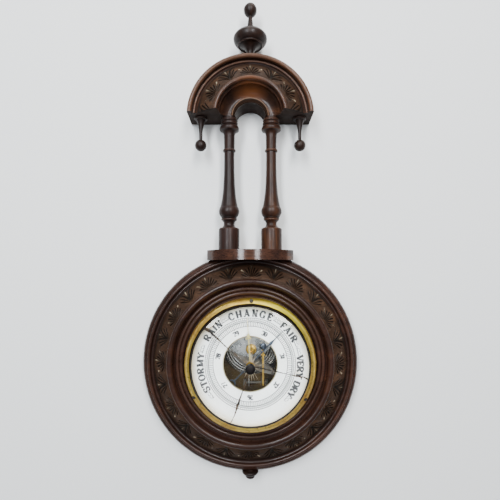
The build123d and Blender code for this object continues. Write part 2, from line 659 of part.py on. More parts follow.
with BuildPart() as mainspring:
    bend_r = (SPRING_HIGH - SPRING_LOW - SPRING_THICK) / 2
    mid = (SPRING_HIGH + SPRING_LOW + SPRING_THICK) / 2
    with BuildSketch(across(30, 0, 0)):
        with BuildLine():
            low_outside, low_inside = SPRING_LOW, SPRING_LOW + SPRING_THICK
            high_inside, high_outside = SPRING_HIGH, SPRING_HIGH + SPRING_THICK
            bend = SPRING_BEND_Z
            Polyline((low_inside, bend), (low_inside, 39), (low_outside, 39), (low_outside, bend))
            ThreePointArc((low_outside, bend), (mid, bend + bend_r + SPRING_THICK), (high_outside, bend))
            Polyline((high_outside, bend), (high_outside, 5), (high_inside, 5), (high_inside, bend))
            ThreePointArc((high_inside, bend), (mid, bend + bend_r), (low_inside, bend))
        make_face()
    extrude(amount=60)
    # outline seen from the front
    with BuildSketch(front(10)):
        with BuildLine():
            Polyline((-21, 16.5), (-19, 60), (19, 60), (21, 16.5))
            ThreePointArc((-21, 16.5), (0, 6.6), (21, 16.5))
        make_face()
    extrude(amount=25, mode=Mode.INTERSECT)
    bore(3.0, 25, 31, CAPSULE_X, CAPSULE_Z)
    for x in (-CLAMP_X, CLAMP_X):
        bore(1.2, 18, 24, x, BRIDGE_Z)
        bore(3.4, 25, 31, x, BRIDGE_Z)
save(mainspring.part, "mainspring")

with BuildPart() as spring_screws:
    for x in (-CLAMP_X, CLAMP_X):
        rod(1.15, 17.6, SPRING_LOW + SPRING_THICK, x, BRIDGE_Z)
        rod(2.6, SPRING_LOW + SPRING_THICK, SPRING_LOW + SPRING_THICK + 1.6, x, BRIDGE_Z)
        with BuildSketch(front(SPRING_LOW + SPRING_THICK + 1.0, x, BRIDGE_Z)):
            Rectangle(6, 0.7, rotation=-35)
        extrude(amount=1, mode=Mode.SUBTRACT)
save(spring_screws.part, "spring_screws")

# ---- movement: lever, rocking shaft and chain ---------------------------------------------
with BuildPart() as main_lever:
    tip = LEVER_END_Z - LEVER_Z - 1.8
    with BuildSketch(front(LEVER_DEPTH, LEVER_X, LEVER_Z)):
        Circle(3.0)
        with BuildLine():
            Polyline((-1, 0), (1, 0), (0.8, tip + 4), (0.3, tip), (-0.3, tip), (-0.8, tip + 4), close=True)
        make_face()
        with Locations((0, -9)):
            RectangleRounded(4.4, 1.4, 0.6)
        Circle(2.0, mode=Mode.SUBTRACT)
    extrude(amount=1.2)
save(main_lever.part, "main_lever")

with BuildPart() as lever_post:
    rod(2.0, LEVER_DEPTH - 0.3, LEVER_DEPTH + 1.2, LEVER_X, LEVER_Z)
    with BuildSketch(section(LEVER_X, LEVER_Z)):
        with BuildLine():
            Polyline((0, 31.2), (3.4, 31.2), (3.4, 32.2))
            ThreePointArc((3.4, 32.2), (2.4, 33.1), (0.5, 33.4))
            Polyline((0.5, 33.4), (0, 33.4), (0, 31.2))
        make_face()
    revolve(axis=face_axis(LEVER_X, LEVER_Z))
save(lever_post.part, "lever_post")

with BuildPart() as lever_link:
    rod(0.5, ROCKER_DEPTH + 1.7, LEVER_DEPTH, LEVER_X, LEVER_END_Z)
save(lever_link.part, "lever_link")


with BuildPart() as rocking_shaft:
    with BuildSketch(across(19, ROCKER_DEPTH, ROCKER_Z)):
        Circle(1.2)
    extrude(amount=26)
    with BuildSketch(across(-CHAIN_R + 0.8, ROCKER_DEPTH, ROCKER_Z)):
        with BuildLine():
            Polyline((0, -1.4), (LONG_ARM + 0.5, -0.8), (LONG_ARM + 0.5, 0.8), (0, 1.4), close=True)
        make_face()
    extrude(amount=1.6)
    with BuildSketch(across(LEVER_X + 0.8, ROCKER_DEPTH, ROCKER_Z)):
        with BuildLine():
            Polyline((-1.4, 0), (1.4, 0), (0.8, SHORT_ARM + 0.8), (-0.8, SHORT_ARM + 0.8), close=True)
        make_face()
    extrude(amount=1.6)
save(rocking_shaft.part, "rocking_shaft")

with BuildPart() as rocker_posts:
    for x in (-4.5, 19.5):
        with BuildSketch(across(x, ROCKER_DEPTH, ROCKER_Z)):
            with Locations((0.1, 0)):
                Rectangle(5.2, 6)
            Circle(1.2 + RUNNING, mode=Mode.SUBTRACT)
        extrude(amount=3)
save(rocker_posts.part, "rocker_posts")

CHAIN_DEPTH = ROCKER_DEPTH + LONG_ARM
with BuildPart() as chain:
    links = 12
    pitch = 25.0 / links
    for i in range(links):
        with BuildSketch(front(CHAIN_DEPTH - 0.35, -CHAIN_R + 0.05, 1 - pitch * (i + 0.5))):
            SlotOverall(pitch * 1.2, 0.6 if i % 2 else 0.5, rotation=90)
        extrude(amount=0.7)
save(chain.part, "chain")

# ---- movement: hand arbor and its bridge --------------------------------------------------
ARBOR_R = 0.8


def strap(depth, thickness):
    """Flat strap from one pillar to the other, widest round the arbor."""
    with BuildPart() as plate:
        with BuildSketch(front(depth)):
            Circle(7.0)
            with Locations(STRAP_A):
                Circle(4.5)
            with Locations(STRAP_B):
                Circle(2.3)
            make_hull()
            Circle(ARBOR_R + RUNNING, mode=Mode.SUBTRACT)
            with Locations(STRAP_A, STRAP_B):
                Circle(1.2, mode=Mode.SUBTRACT)
        extrude(amount=thickness)
    return plate.part


save(strap(16.8, 1.4), "arbor_plate")
save(strap(25.6, 1.4), "arbor_bridge")

with BuildPart() as arbor_pillars:
    for x, z in (STRAP_A, STRAP_B):
        rod(2.4, BASE_FRONT, 16.8, x, z)
        bore(1.2, 13, 16.8, x, z)
save(arbor_pillars.part, "arbor_pillars")

with BuildPart() as arbor_spacers:
    for x, z in (STRAP_A, STRAP_B):
        rod(2.4, 18.2, 25.6, x, z)
        bore(1.2, 18, 26, x, z)
save(arbor_spacers.part, "arbor_spacers")

with BuildPart() as arbor_bridge_screws:
    for x, z in (STRAP_A, STRAP_B):
        rod(1.15, 13.5, 27.0, x, z)
        rod(2.2, 27.0, 28.3, x, z)
        with BuildSketch(front(27.8, x, z)):
            Rectangle(5, 0.6, rotation=50)
        extrude(amount=1, mode=Mode.SUBTRACT)
save(arbor_bridge_screws.part, "arbor_bridge_screws")

with BuildPart() as hand_arbor:
    rod(ARBOR_R, 17.0, 36.4)
    rod(1.8, 18.6, 18.9)
    rod(1.8, CHAIN_DEPTH + 0.75, CHAIN_DEPTH + 1.05)
    rod(2.0, 22.0, 23.4)
    rod(1.5, 33.4, HAND_DEPTH)
save(hand_arbor.part, "hand_arbor")

with BuildPart() as hairspring:
    start_r, grow, coils = 2.7, 0.55, 9
    with BuildSketch(front(22.3)):
        with BuildLine():
            # half circles whose centres step from side to side make the spiral
            for i in range(coils):
                radius = start_r + grow * i / 2
                centre_x = 0 if i % 2 == 0 else -grow / 2
                CenterArc((centre_x, 0), radius, 180 * (i % 2), 180)
        trace(line_width=0.24)
    extrude(amount=0.8)
save(hairspring.part, "hairspring")

with BuildPart() as hairspring_stud:
    stud_x = -(start_r + grow * (coils - 1) / 2) - 0.12
    with BuildSketch(front(21.9, stud_x - 0.9, -0.1)):
        Rectangle(1.5, 2.0)
    extrude(amount=25.6 - 21.9)
save(hairspring_stud.part, "hairspring_stud")
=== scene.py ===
from math import atan2, ceil, cos, hypot, pi, radians, sin

import bpy
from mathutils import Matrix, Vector, noise


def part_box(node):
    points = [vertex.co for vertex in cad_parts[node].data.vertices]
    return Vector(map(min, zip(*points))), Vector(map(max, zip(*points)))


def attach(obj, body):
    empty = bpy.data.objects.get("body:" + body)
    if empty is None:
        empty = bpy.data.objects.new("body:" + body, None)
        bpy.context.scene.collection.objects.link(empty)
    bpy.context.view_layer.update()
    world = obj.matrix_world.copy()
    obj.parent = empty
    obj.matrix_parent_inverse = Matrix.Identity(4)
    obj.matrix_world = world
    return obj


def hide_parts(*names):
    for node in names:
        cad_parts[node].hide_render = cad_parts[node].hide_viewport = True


# Looks of a wall aneroid barometer in a carved walnut case.
# Lengths are millimetres: x to the viewer's right, depth out from the wall, z up from the
# dial's centre. Angles are degrees clockwise from the top, as the viewer sees the dial.
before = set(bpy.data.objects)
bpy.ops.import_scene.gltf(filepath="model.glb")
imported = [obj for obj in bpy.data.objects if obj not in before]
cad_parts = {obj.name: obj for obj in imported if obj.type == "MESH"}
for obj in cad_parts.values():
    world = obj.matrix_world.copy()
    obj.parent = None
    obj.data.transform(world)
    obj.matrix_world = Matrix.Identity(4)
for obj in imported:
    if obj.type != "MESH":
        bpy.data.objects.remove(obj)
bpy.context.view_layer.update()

MM = 0.001
dial_low, dial_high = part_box("dial")
CENTRE = ((dial_low[0] + dial_high[0]) / 2, 0.0, (dial_low[2] + dial_high[2]) / 2)
DIAL_FACE = -dial_low[1] / MM
TURNING_DEPTH = 19.0  # the axis that the columns, drops and finial are turned on
COLUMN_X = 23.4
DROP_X = 55.4
ARCH_Z = 264.9  # the centre that the pediment's arch is turned about
THROAT_Z = 269.4  # the centre of the shadow inside the arch


def at(x, depth, z):
    """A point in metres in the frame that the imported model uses."""
    return Vector((CENTRE[0] + x * MM, -depth * MM, CENTRE[2] + z * MM))


def clock(radius, angle):
    """(x, z) of a point at a radius and a clockwise angle."""
    return radius * sin(radians(angle)), radius * cos(radians(angle))


# ---- mesh helpers -------------------------------------------------------------------------
def piece(name, points, faces, material, body="case", stands_for=(), crease=32, marks=None):
    """Makes a mesh piece that rides on a body. marks are named lists with a value for each vertex."""
    mesh = bpy.data.meshes.new(name)
    mesh.from_pydata(points, [], faces)
    mesh.validate()
    for key, values in (marks or {}).items():
        attribute = mesh.attributes.new(key, "FLOAT", "POINT")
        attribute.data.foreach_set("value", values)
    mesh.shade_smooth()
    mesh.set_sharp_from_angle(angle=radians(crease))
    mesh.materials.append(material)
    made = bpy.data.objects.new(name, mesh)
    bpy.context.scene.collection.objects.link(made)
    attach(made, body)
    if stands_for:
        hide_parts(*stands_for)
    return made


def arc(start, middle, end, step=0.5):
    """Points of the circular arc through three points, without the first, about a step apart."""
    (ax, ay), (bx, by), (cx, cy) = start, middle, end
    d = 2 * (ax * (by - cy) + bx * (cy - ay) + cx * (ay - by))
    a2, b2, c2 = ax * ax + ay * ay, bx * bx + by * by, cx * cx + cy * cy
    ox = (a2 * (by - cy) + b2 * (cy - ay) + c2 * (ay - by)) / d
    oy = (a2 * (cx - bx) + b2 * (ax - cx) + c2 * (bx - ax)) / d
    radius = hypot(ax - ox, ay - oy)
    first = atan2(ay - oy, ax - ox)
    turn = (atan2(cy - oy, cx - ox) - first) % (2 * pi)
    if (atan2(by - oy, bx - ox) - first) % (2 * pi) > turn:
        turn -= 2 * pi
    count = max(3, ceil(abs(turn) * radius / step))
    angles = [first + turn * i / count for i in range(1, count + 1)]
    return [(ox + radius * cos(a), oy + radius * sin(a)) for a in angles]


def outline(*spans, step=0.5):
    """A profile from points and arcs, where an arc is given as its middle and its end."""
    points = [spans[0]]
    for span in spans[1:]:
        if isinstance(span[0], tuple):
            points += arc(points[-1], *span, step=step)
        else:
            points.append(span)
    return points


def wear_along(points):
    """How sharply each point of a closed profile stands out, up to 1, or down to -1 in a groove."""
    values = []
    count = len(points)
    area = sum(points[i - 1][0] * points[i][1] - points[i][0] * points[i - 1][1] for i in range(count))
    way = 1 if area > 0 else -1
    for i, (x, y) in enumerate(points):
        px, py = points[i - 1]
        nx, ny = points[(i + 1) % count]
        turn = atan2((x - px) * (ny - y) - (y - py) * (nx - x), (x - px) * (nx - x) + (y - py) * (ny - y))
        values.append(way * turn / (0.5 * (hypot(x - px, y - py) + hypot(nx - x, ny - y)) + 0.4))
    soft = []
    for i in range(count):
        soft.append((values[i - 1] + 2 * values[i] + values[(i + 1) % count]) / 4)
    return [max(-1.0, min(1.0, v * 1.6)) for v in soft]


def turned(name, profile, place, segments, material, stands_for=(), crease=32):
    """A closed profile of (radius, height) turned right round. place(r, h, angle) gives a point."""
    points, faces, edge = [], [], []
    wear = wear_along(profile)
    rings = []
    for (r, h), w in zip(profile, wear):
        first = len(points)
        if r < 1e-6:
            points.append(place(0, h, 0))
            edge.append(w)
            rings.append([first] * segments)
            continue
        for j in range(segments):
            points.append(place(r, h, 360 * j / segments))
            edge.append(w)
        rings.append(list(range(first, first + segments)))
    for i in range(len(profile)):
        low, high = rings[i - 1], rings[i]
        if low[0] == low[1] and high[0] == high[1]:
            continue
        for j in range(segments):
            k = (j + 1) % segments
            face = [low[j], low[k], high[k], high[j]]
            faces.append([v for n, v in enumerate(face) if v != face[n - 1]])
    piece(name, points, faces, material, stands_for=stands_for, crease=crease, marks={"edge": edge})


def facing(z=0.0):
    """Placement for pieces turned about a line from the wall to the viewer."""
    def place(r, depth, angle):
        dx, dz = clock(r, angle)
        return at(dx, depth, z + dz)
    return place


def standing(x):
    """Placement for pieces turned about an upright line."""
    def place(r, z, angle):
        dx, dy = clock(r, angle)
        return at(x + dx, TURNING_DEPTH + dy, z)
    return place


# ---- materials ----------------------------------------------------------------------------
class Shade:
    """A node material under construction, with short calls for the nodes it needs."""

    def __init__(self, name, slot):
        self.material = bpy.data.materials.new(name)
        self.material.use_nodes = True
        self.material["slot"] = slot
        self.nodes = self.material.node_tree.nodes
        self.links = self.material.node_tree.links
        self.nodes.clear()
        self.output = self.nodes.new("ShaderNodeOutputMaterial")
        self.shader = self.nodes.new("ShaderNodeBsdfPrincipled")
        self.links.new(self.shader.outputs[0], self.output.inputs["Surface"])
        self.coordinates = self.nodes.new("ShaderNodeTexCoord").outputs["Object"]

    def set(self, **values):
        for key, value in values.items():
            self.shader.inputs[key.replace("_", " ")].default_value = value

    def join(self, value, socket):
        if isinstance(value, bpy.types.NodeSocket):
            self.links.new(value, socket)
        else:
            socket.default_value = value

    def stretched(self, scale):
        node = self.nodes.new("ShaderNodeMapping")
        self.join(self.coordinates, node.inputs["Vector"])
        node.inputs["Scale"].default_value = scale
        return node.outputs[0]

    def noise(self, scale, stretch=(1, 1, 1), detail=4, rough=0.55, distort=0.0):
        node = self.nodes.new("ShaderNodeTexNoise")
        self.join(self.stretched(stretch), node.inputs["Vector"])
        node.inputs["Scale"].default_value = scale
        node.inputs["Detail"].default_value = detail
        node.inputs["Roughness"].default_value = rough
        node.inputs["Distortion"].default_value = distort
        return node.outputs["Fac"]

    def ramp(self, value, *stops):
        node = self.nodes.new("ShaderNodeValToRGB")
        self.join(value, node.inputs[0])
        while len(node.color_ramp.elements) < len(stops):
            node.color_ramp.elements.new(0.5)
        for element, (place, colour) in zip(node.color_ramp.elements, stops):
            element.position = place
            element.color = (*colour, 1) if isinstance(colour, tuple) else (colour, colour, colour, 1)
        return node.outputs[0]

    def mix(self, amount, first, second):
        node = self.nodes.new("ShaderNodeMix")
        node.data_type = "RGBA"
        self.join(amount, node.inputs[0])
        for value, socket in ((first, node.inputs[6]), (second, node.inputs[7])):
            self.join((*value, 1) if isinstance(value, tuple) else value, socket)
        return node.outputs[2]

    def maths(self, what, first, second):
        node = self.nodes.new("ShaderNodeMath")
        node.operation = what
        node.use_clamp = what == "MULTIPLY"
        self.join(first, node.inputs[0])
        self.join(second, node.inputs[1])
        return node.outputs[0]

    def near(self, place, inner, outer):
        """1 within a distance of a place in metres, falling to 0 further away. Distances in mm."""
        node = self.nodes.new("ShaderNodeVectorMath")
        node.operation = "DISTANCE"
        self.join(self.coordinates, node.inputs[0])
        node.inputs[1].default_value = place
        reach = self.nodes.new("ShaderNodeMapRange")
        self.join(node.outputs["Value"], reach.inputs["Value"])
        reach.inputs["From Min"].default_value = inner * MM
        reach.inputs["From Max"].default_value = outer * MM
        reach.inputs["To Min"].default_value = 1.0
        reach.inputs["To Max"].default_value = 0.0
        return reach.outputs[0]

    def radius(self, x, z):
        """Distance in mm from a line that runs into the wall."""
        offset = self.nodes.new("ShaderNodeVectorMath")
        offset.operation = "SUBTRACT"
        self.join(self.coordinates, offset.inputs[0])
        offset.inputs[1].default_value = at(x, 0, z)
        flat = self.nodes.new("ShaderNodeVectorMath")
        flat.operation = "MULTIPLY"
        self.join(offset.outputs[0], flat.inputs[0])
        flat.inputs[1].default_value = (1 / MM, 0, 1 / MM)
        length = self.nodes.new("ShaderNodeVectorMath")
        length.operation = "LENGTH"
        self.join(flat.outputs[0], length.inputs[0])
        return length.outputs["Value"]

    def within(self, value, low, high):
        """A value scaled so that low gives 0 and high gives 1, and held there beyond them."""
        node = self.nodes.new("ShaderNodeMapRange")
        self.join(value, node.inputs["Value"])
        node.inputs["From Min"].default_value = low
        node.inputs["From Max"].default_value = high
        return node.outputs[0]

    def mark(self, key):
        node = self.nodes.new("ShaderNodeAttribute")
        node.attribute_name = key
        return node.outputs["Fac"]

    def bump(self, height, distance, strength):
        node = self.nodes.new("ShaderNodeBump")
        node.inputs["Distance"].default_value = distance
        node.inputs["Strength"].default_value = strength
        self.join(height, node.inputs["Height"])
        if self.shader.inputs["Normal"].is_linked:
            self.join(self.shader.inputs["Normal"].links[0].from_socket, node.inputs["Normal"])
        self.join(node.outputs[0], self.shader.inputs["Normal"])

    def finish(self, colour, rough):
        self.join(colour, self.shader.inputs["Base Color"])
        self.join(rough, self.shader.inputs["Roughness"])
        return self.material


def arch_painted_light(s, wood, figure):
    """Painted light on the arch: a glow over its cove, a sheen on its outer bead, shade in its throat and a
    highlight on its lip.
    """
    # Painted glow: a warm pool of light over the cove at the top.
    glow = s.near(at(0, 31, 300), 6, 24)
    wood = s.mix(s.maths("MULTIPLY", glow, 0.65), wood, (0.20, 0.065, 0.018))
    # Painted shade inside the throat, and a pale band at its edge as a painted highlight.
    throat = s.radius(0, THROAT_Z)
    wood = s.mix(s.within(throat, 20.6, 20.0), wood, (0.17, 0.10, 0.06))
    wood = s.mix(s.within(throat, 19.8, 19.2), wood, (0.014, 0.007, 0.004))
    # Painted sheen: the outer bead made paler, as if lit.
    bead = s.within(s.radius(0, ARCH_Z), 63.0, 64.6)
    bead_sheen = s.maths("MULTIPLY", bead, s.ramp(figure, (0.3, 0.35), (0.7, 0.95)))
    return s.mix(bead_sheen, wood, (0.105, 0.046, 0.023))


def walnut(name, along, dark, light, warm, gloss=0.40, coat=0.05, grain=0.55, carved=False, arch=False):
    """Waxed walnut whose grain runs along x, y or z, darker in its pores and paler on worn edges."""
    s = Shade(name, "walnut")
    stretch = [1.0, 1.0, 1.0]
    stretch["xyz".index(along)] = 0.09
    figure = s.noise(70, stretch, detail=6, rough=0.62, distort=1.2)
    pores = s.noise(900, stretch, detail=2, rough=0.5)
    patches = s.noise(14, detail=3)
    wood = s.ramp(figure, (0.30, dark), (0.52, light), (0.72, warm))
    wood = s.mix(s.ramp(patches, (0.35, 0.0), (0.7, 0.75)), wood, dark)
    wood = s.mix(s.ramp(pores, (0.52, 0.0), (0.62, grain)), wood, (0.010, 0.005, 0.003))
    edge = s.mark("edge")
    handled = s.ramp(patches, (0.3, 1.0), (0.75, 0.2))
    worn = s.maths("MULTIPLY", s.ramp(edge, (0.25, 0.0), (0.9, 0.8)), handled)
    wood = s.mix(worn, wood, tuple(min(1, 1.25 * c + 0.015) for c in warm))
    groove = s.ramp(s.maths("MULTIPLY", edge, -1.0), (0.15, 0.0), (0.8, 0.85))
    wood = s.mix(groove, wood, (0.008, 0.005, 0.004))
    # The arch's painted glow, sheen, shade and highlight.
    if arch:
        wood = arch_painted_light(s, wood, figure)
    # Carving: a dark ground at the band's edge, painted shade in the cuts and pale fresh nicks.
    if carved:
        wood = s.mix(s.mark("ground"), wood, (0.014, 0.010, 0.008))
        wood = s.mix(s.mark("hollow_shade"), wood, (0.006, 0.0035, 0.002))
        wood = s.mix(s.mark("nick"), wood, (0.36, 0.29, 0.20))
    s.bump(pores, 0.00025, 0.35)
    s.bump(figure, 0.0006, 0.18)
    s.set(Specular_IOR_Level=0.10 if carved else 0.17, Coat_Weight=coat, Coat_Roughness=0.14, Coat_IOR=1.45)
    rough = s.ramp(s.noise(120, detail=5), (0.3, gloss - 0.06), (0.75, gloss + 0.12))
    return s.finish(wood, rough)


def brass(name, slot, colour, tarnish, amount, rough, painted_light=False):
    """Lacquered brass with brown tarnish in patches and small dark specks.

    For the bezel, the last flag paints shade on its inner lip and a lemon-coloured highlight at its upper
    right."""
    s = Shade(name, slot)
    patches = s.noise(38, detail=7, rough=0.65)
    specks = s.noise(420, detail=3, rough=0.6)
    metal = s.mix(s.ramp(patches, (0.42, 0.0), (0.68, amount)), colour, tarnish)
    metal = s.mix(s.ramp(specks, (0.57, 0.0), (0.70, 0.7)), metal, (0.10, 0.05, 0.02))
    if painted_light:
        # Painted highlight: a lemon-coloured patch at the upper right.
        lemon = s.maths("MULTIPLY", s.near(at(34, 40, 54), 8, 52), 0.85)
        metal = s.mix(lemon, metal, (0.84, 0.72, 0.07))
        # Painted shadow: near black inside a ragged circle on the lip's inner edge.
        ragged_lip_shadow = s.maths("ADD", s.radius(-0.2, 1.3), s.ramp(patches, (0.3, 0.0), (0.8, 0.9)))
        metal = s.mix(s.within(ragged_lip_shadow, 62.3, 62.9), (0.012, 0.008, 0.005), metal)
    s.set(Metallic=1.0)
    s.bump(patches, 0.0006, 0.25)
    s.bump(specks, 0.0002, 0.3)
    return s.finish(metal, s.ramp(patches, (0.3, rough), (0.8, rough + 0.2)))


def steel(name, slot, colour, rough, along, streak, spots=(0.12, 0.08, 0.05)):
    """Worked steel with fine lines along one way and a few rusty spots."""
    s = Shade(name, slot)
    stretch = [1.0, 1.0, 1.0]
    stretch["xyz".index(along)] = 0.04
    lines = s.noise(1500, stretch, detail=3)
    patches = s.noise(90, detail=6, rough=0.65)
    metal = s.mix(s.ramp(lines, (0.3, 0.0), (0.7, streak)), colour, tuple(0.55 * c for c in colour))
    metal = s.mix(s.ramp(patches, (0.60, 0.0), (0.74, 0.55)), metal, spots)
    s.set(Metallic=1.0)
    s.bump(lines, 0.0001, 0.3)
    return s.finish(metal, s.ramp(patches, (0.3, rough), (0.75, rough + 0.2)))


RING_WOOD = walnut(
    "walnut_ring", "x", (0.014, 0.0065, 0.0045), (0.030, 0.012, 0.008), (0.060, 0.023, 0.012),
    gloss=0.3, coat=0.16, grain=0.2,
)
FRIEZE_WOOD = walnut(
    "walnut_frieze", "x", (0.022, 0.011, 0.006), (0.042, 0.022, 0.013), (0.088, 0.042, 0.021),
    gloss=0.45, coat=0.0, carved=True,
)
ARCH_WOOD = walnut(
    "walnut_arch", "x", (0.016, 0.007, 0.005), (0.045, 0.018, 0.009), (0.11, 0.043, 0.019),
    gloss=0.34, coat=0.18, arch=True,
)
# Flat undersides and the arch's bore: dark cut wood, made darker still as painted shade.
UNDER_SHADE_WOOD = walnut(
    "walnut_under_shade", "x", (0.010, 0.004, 0.002), (0.020, 0.008, 0.004), (0.036, 0.015, 0.008),
    gloss=0.7, coat=0.0,
)
LEFT_WOOD = walnut(
    "walnut_column_left", "z", (0.011, 0.006, 0.005), (0.022, 0.010, 0.008), (0.045, 0.018, 0.010),
)
RIGHT_WOOD = walnut(
    "walnut_column_right", "z", (0.012, 0.006, 0.0045), (0.030, 0.012, 0.007), (0.080, 0.030, 0.012),
)
DARK_WOOD = walnut("walnut_dark", "z", (0.008, 0.0045, 0.004), (0.016, 0.008, 0.006), (0.034, 0.015, 0.009))
SHELF_WOOD = walnut(
    "walnut_shelf", "x", (0.018, 0.008, 0.006), (0.055, 0.022, 0.013), (0.12, 0.05, 0.026),
    gloss=0.16, coat=0.6,
)
BEZEL_BRASS = brass(
    "brass_bezel", "case_brass", (0.80, 0.56, 0.115), (0.36, 0.16, 0.04), 0.9, 0.33, painted_light=True,
)
DRUM_BRASS = brass("brass_drum", "case_brass", (0.50, 0.36, 0.13), (0.20, 0.11, 0.05), 0.8, 0.35)
WORKS_BRASS = brass("brass_works", "movement_brass", (0.74, 0.47, 0.085), (0.30, 0.16, 0.045), 0.55, 0.2)
RIM_BRASS = brass("brass_rim", "dark_steel", (0.42, 0.36, 0.21), (0.15, 0.11, 0.06), 0.7, 0.4)
BASE_BRASS = brass("brass_base", "movement_brass", (0.070, 0.046, 0.018), (0.018, 0.012, 0.007), 0.9, 0.5)
HAND_BRASS = brass("brass_hand", "pale_brass", (0.74, 0.65, 0.30), (0.46, 0.37, 0.14), 0.5, 0.25)
KNOB_DARK = steel("knob_dark", "blackened_brass", (0.020, 0.018, 0.018), 0.5, "y", 0.3)
BLUED = steel("steel_blued", "blued_steel", (0.055, 0.068, 0.09), 0.3, "z", 0.3, (0.03, 0.03, 0.035))
STEEL = steel("steel_bright", "polished_steel", (0.54, 0.55, 0.54), 0.18, "x", 0.35)
GREY_STEEL = steel("steel_grey", "polished_steel", (0.12, 0.11, 0.095), 0.34, "x", 0.4)
SCREW_STEEL = steel("steel_dark", "dark_steel", (0.075, 0.065, 0.055), 0.38, "x", 0.4)


def rippled(name, slot, centre_x, centre_z, pitch):
    """Bright sheet metal with painted shade in the troughs of its pressed circular ripples and painted
    highlights on their crests, round a flat plain middle.
    """
    s = Shade(name, slot)
    turns = s.nodes.new("ShaderNodeMath")
    turns.operation = "PINGPONG"
    s.join(s.radius(centre_x, centre_z), turns.inputs[0])
    turns.inputs[1].default_value = pitch / 2
    ripples = s.within(turns.outputs[0], 0, pitch / 2)
    depth = s.maths("MAXIMUM", ripples, s.within(s.radius(centre_x, centre_z), 10.5, 9.5))
    patches = s.noise(60, detail=4)
    trough_shade, dull, bright = (0.05, 0.045, 0.04), (0.42, 0.40, 0.36), (0.74, 0.72, 0.68)
    # Painted light on the ripples: near black in the troughs, bright on the crests.
    metal = s.ramp(depth, (0.10, trough_shade), (0.55, dull), (0.95, bright))
    metal = s.mix(s.ramp(patches, (0.5, 0.0), (0.8, 0.5)), metal, (0.16, 0.12, 0.08))
    s.set(Metallic=1.0)
    s.bump(depth, 0.0003, 0.4)
    return s.finish(metal, 0.24)


CAPSULE = rippled("capsule_metal", "nickel_silver", 1.0, 14.7, 2.55)


def glass():
    """Clear glass that lets lamps through to what it covers, with faint dust."""
    s = Shade("glass_pane", "window_glass")
    s.set(Transmission_Weight=1.0, IOR=1.5)
    dust = s.noise(160, detail=6)
    tint = s.ramp(dust, (0.3, (0.97, 0.985, 0.98)), (0.8, (0.90, 0.93, 0.93)))
    s.finish(tint, s.ramp(dust, (0.4, 0.0), (0.9, 0.05)))
    path = s.nodes.new("ShaderNodeLightPath")
    clear = s.nodes.new("ShaderNodeBsdfTransparent")
    both = s.nodes.new("ShaderNodeMixShader")
    s.join(path.outputs["Is Shadow Ray"], both.inputs[0])
    s.links.new(s.shader.outputs[0], both.inputs[1])
    s.links.new(clear.outputs[0], both.inputs[2])
    s.links.new(both.outputs[0], s.output.inputs["Surface"])
    return s.material


STAINS = (  # radius, clockwise angle, size and strength of each brown stain on the dial
    (57, -50, 7, 0.75), (50, -52, 5, 0.55), (50, 101, 5, 0.5), (61, 12, 9, 0.3),
)


def enamel():
    """White dial paint with soft grey staining, and a painted yellow reflection of the brass bezel towards
    its rim.
    """
    s = Shade("dial_white", "dial_enamel")
    stain = s.noise(28, detail=6, rough=0.6)
    fine = s.noise(260, detail=4)
    paint = s.mix(s.ramp(stain, (0.45, 0.0), (0.8, 0.5)), (0.88, 0.89, 0.87), (0.72, 0.70, 0.63))
    paint = s.mix(s.ramp(fine, (0.55, 0.0), (0.8, 0.22)), paint, (0.50, 0.47, 0.40))
    for r, angle, size, strength in STAINS:
        x, z = clock(r, angle)
        spot = s.near(at(x, DIAL_FACE, z), 0.5, size)
        soaked = s.maths("MULTIPLY", spot, s.ramp(stain, (0.3, 0.2), (0.6, strength)))
        paint = s.mix(soaked, paint, (0.42, 0.28, 0.10))
    # Painted reflection of the bezel: yellow towards the rim, centred a little low and right so that it is
    # strongest at the upper left.
    outside = s.within(s.radius(0.9, -2.6), 53.5, 60.5)
    bezel_reflection = s.ramp(outside, (0.0, 0.0), (0.5, 0.25), (1.0, 0.85))
    reflected_yellow = s.maths("MULTIPLY", bezel_reflection, s.ramp(stain, (0.3, 1.0), (0.7, 0.5)))
    paint = s.mix(reflected_yellow, paint, (0.44, 0.33, 0.13))
    s.bump(fine, 0.0001, 0.2)
    return s.finish(paint, s.ramp(stain, (0.3, 0.28), (0.8, 0.45)))


def ink():
    """Black dial ink, thin in places."""
    s = Shade("dial_ink", "dial_enamel")
    fade = s.noise(300, detail=5)
    s.bump(fade, 0.0001, 0.2)
    return s.finish(s.ramp(fade, (0.35, (0.012, 0.012, 0.015)), (0.8, (0.07, 0.07, 0.07))), 0.5)


GLASS = glass()
ENAMEL = enamel()
INK = ink()


# ---- carved ring --------------------------------------------------------------------------
FRIEZE_IN = 88.4  # the carved band of the ring, between its big bead and its hollow
FRIEZE_OUT = 104.4
BED = 2.6  # thickness of the carved layer, laid in a recess of the ring


def sloped(points, r):
    """Height of a profile of (radius, height) at a radius."""
    for (r0, h0), (r1, h1) in zip(points, points[1:]):
        if min(r0, r1) <= r <= max(r0, r1):
            return h0 + (h1 - h0) * (r - r0) / (r1 - r0)
    return points[-1][1]


RING_FRIEZE = outline((FRIEZE_IN, 30.6), ((96.8, 25.4), (FRIEZE_OUT, 18.4)))
ring_profile = outline(
    (63.6, 28.4), (63.6, 0), (115.2, 0), (115.2, 7.5), (117.2, 10), ((116.4, 15.6), (112.6, 18.6)),
    (112.3, 17.9), (112.0, 18.5), ((110.2, 20.3), (108.4, 18.5)), ((106.4, 16.8), (FRIEZE_OUT, 18.4)),
    (FRIEZE_OUT, 18.4 - BED), (FRIEZE_IN, 30.6 - BED), (FRIEZE_IN, 30.6), ((85.2, 33.0), (82.0, 30.6)),
    ((81.4, 27.8), (79.6, 25.8)), ((77.6, 27.8), (75.7, 26.0)), ((73.4, 28.4), (71.1, 26.4)), (69.6, 28.4),
)
turned("ring_mouldings", ring_profile, facing(), 360, RING_WOOD, stands_for=["dial_frame"])


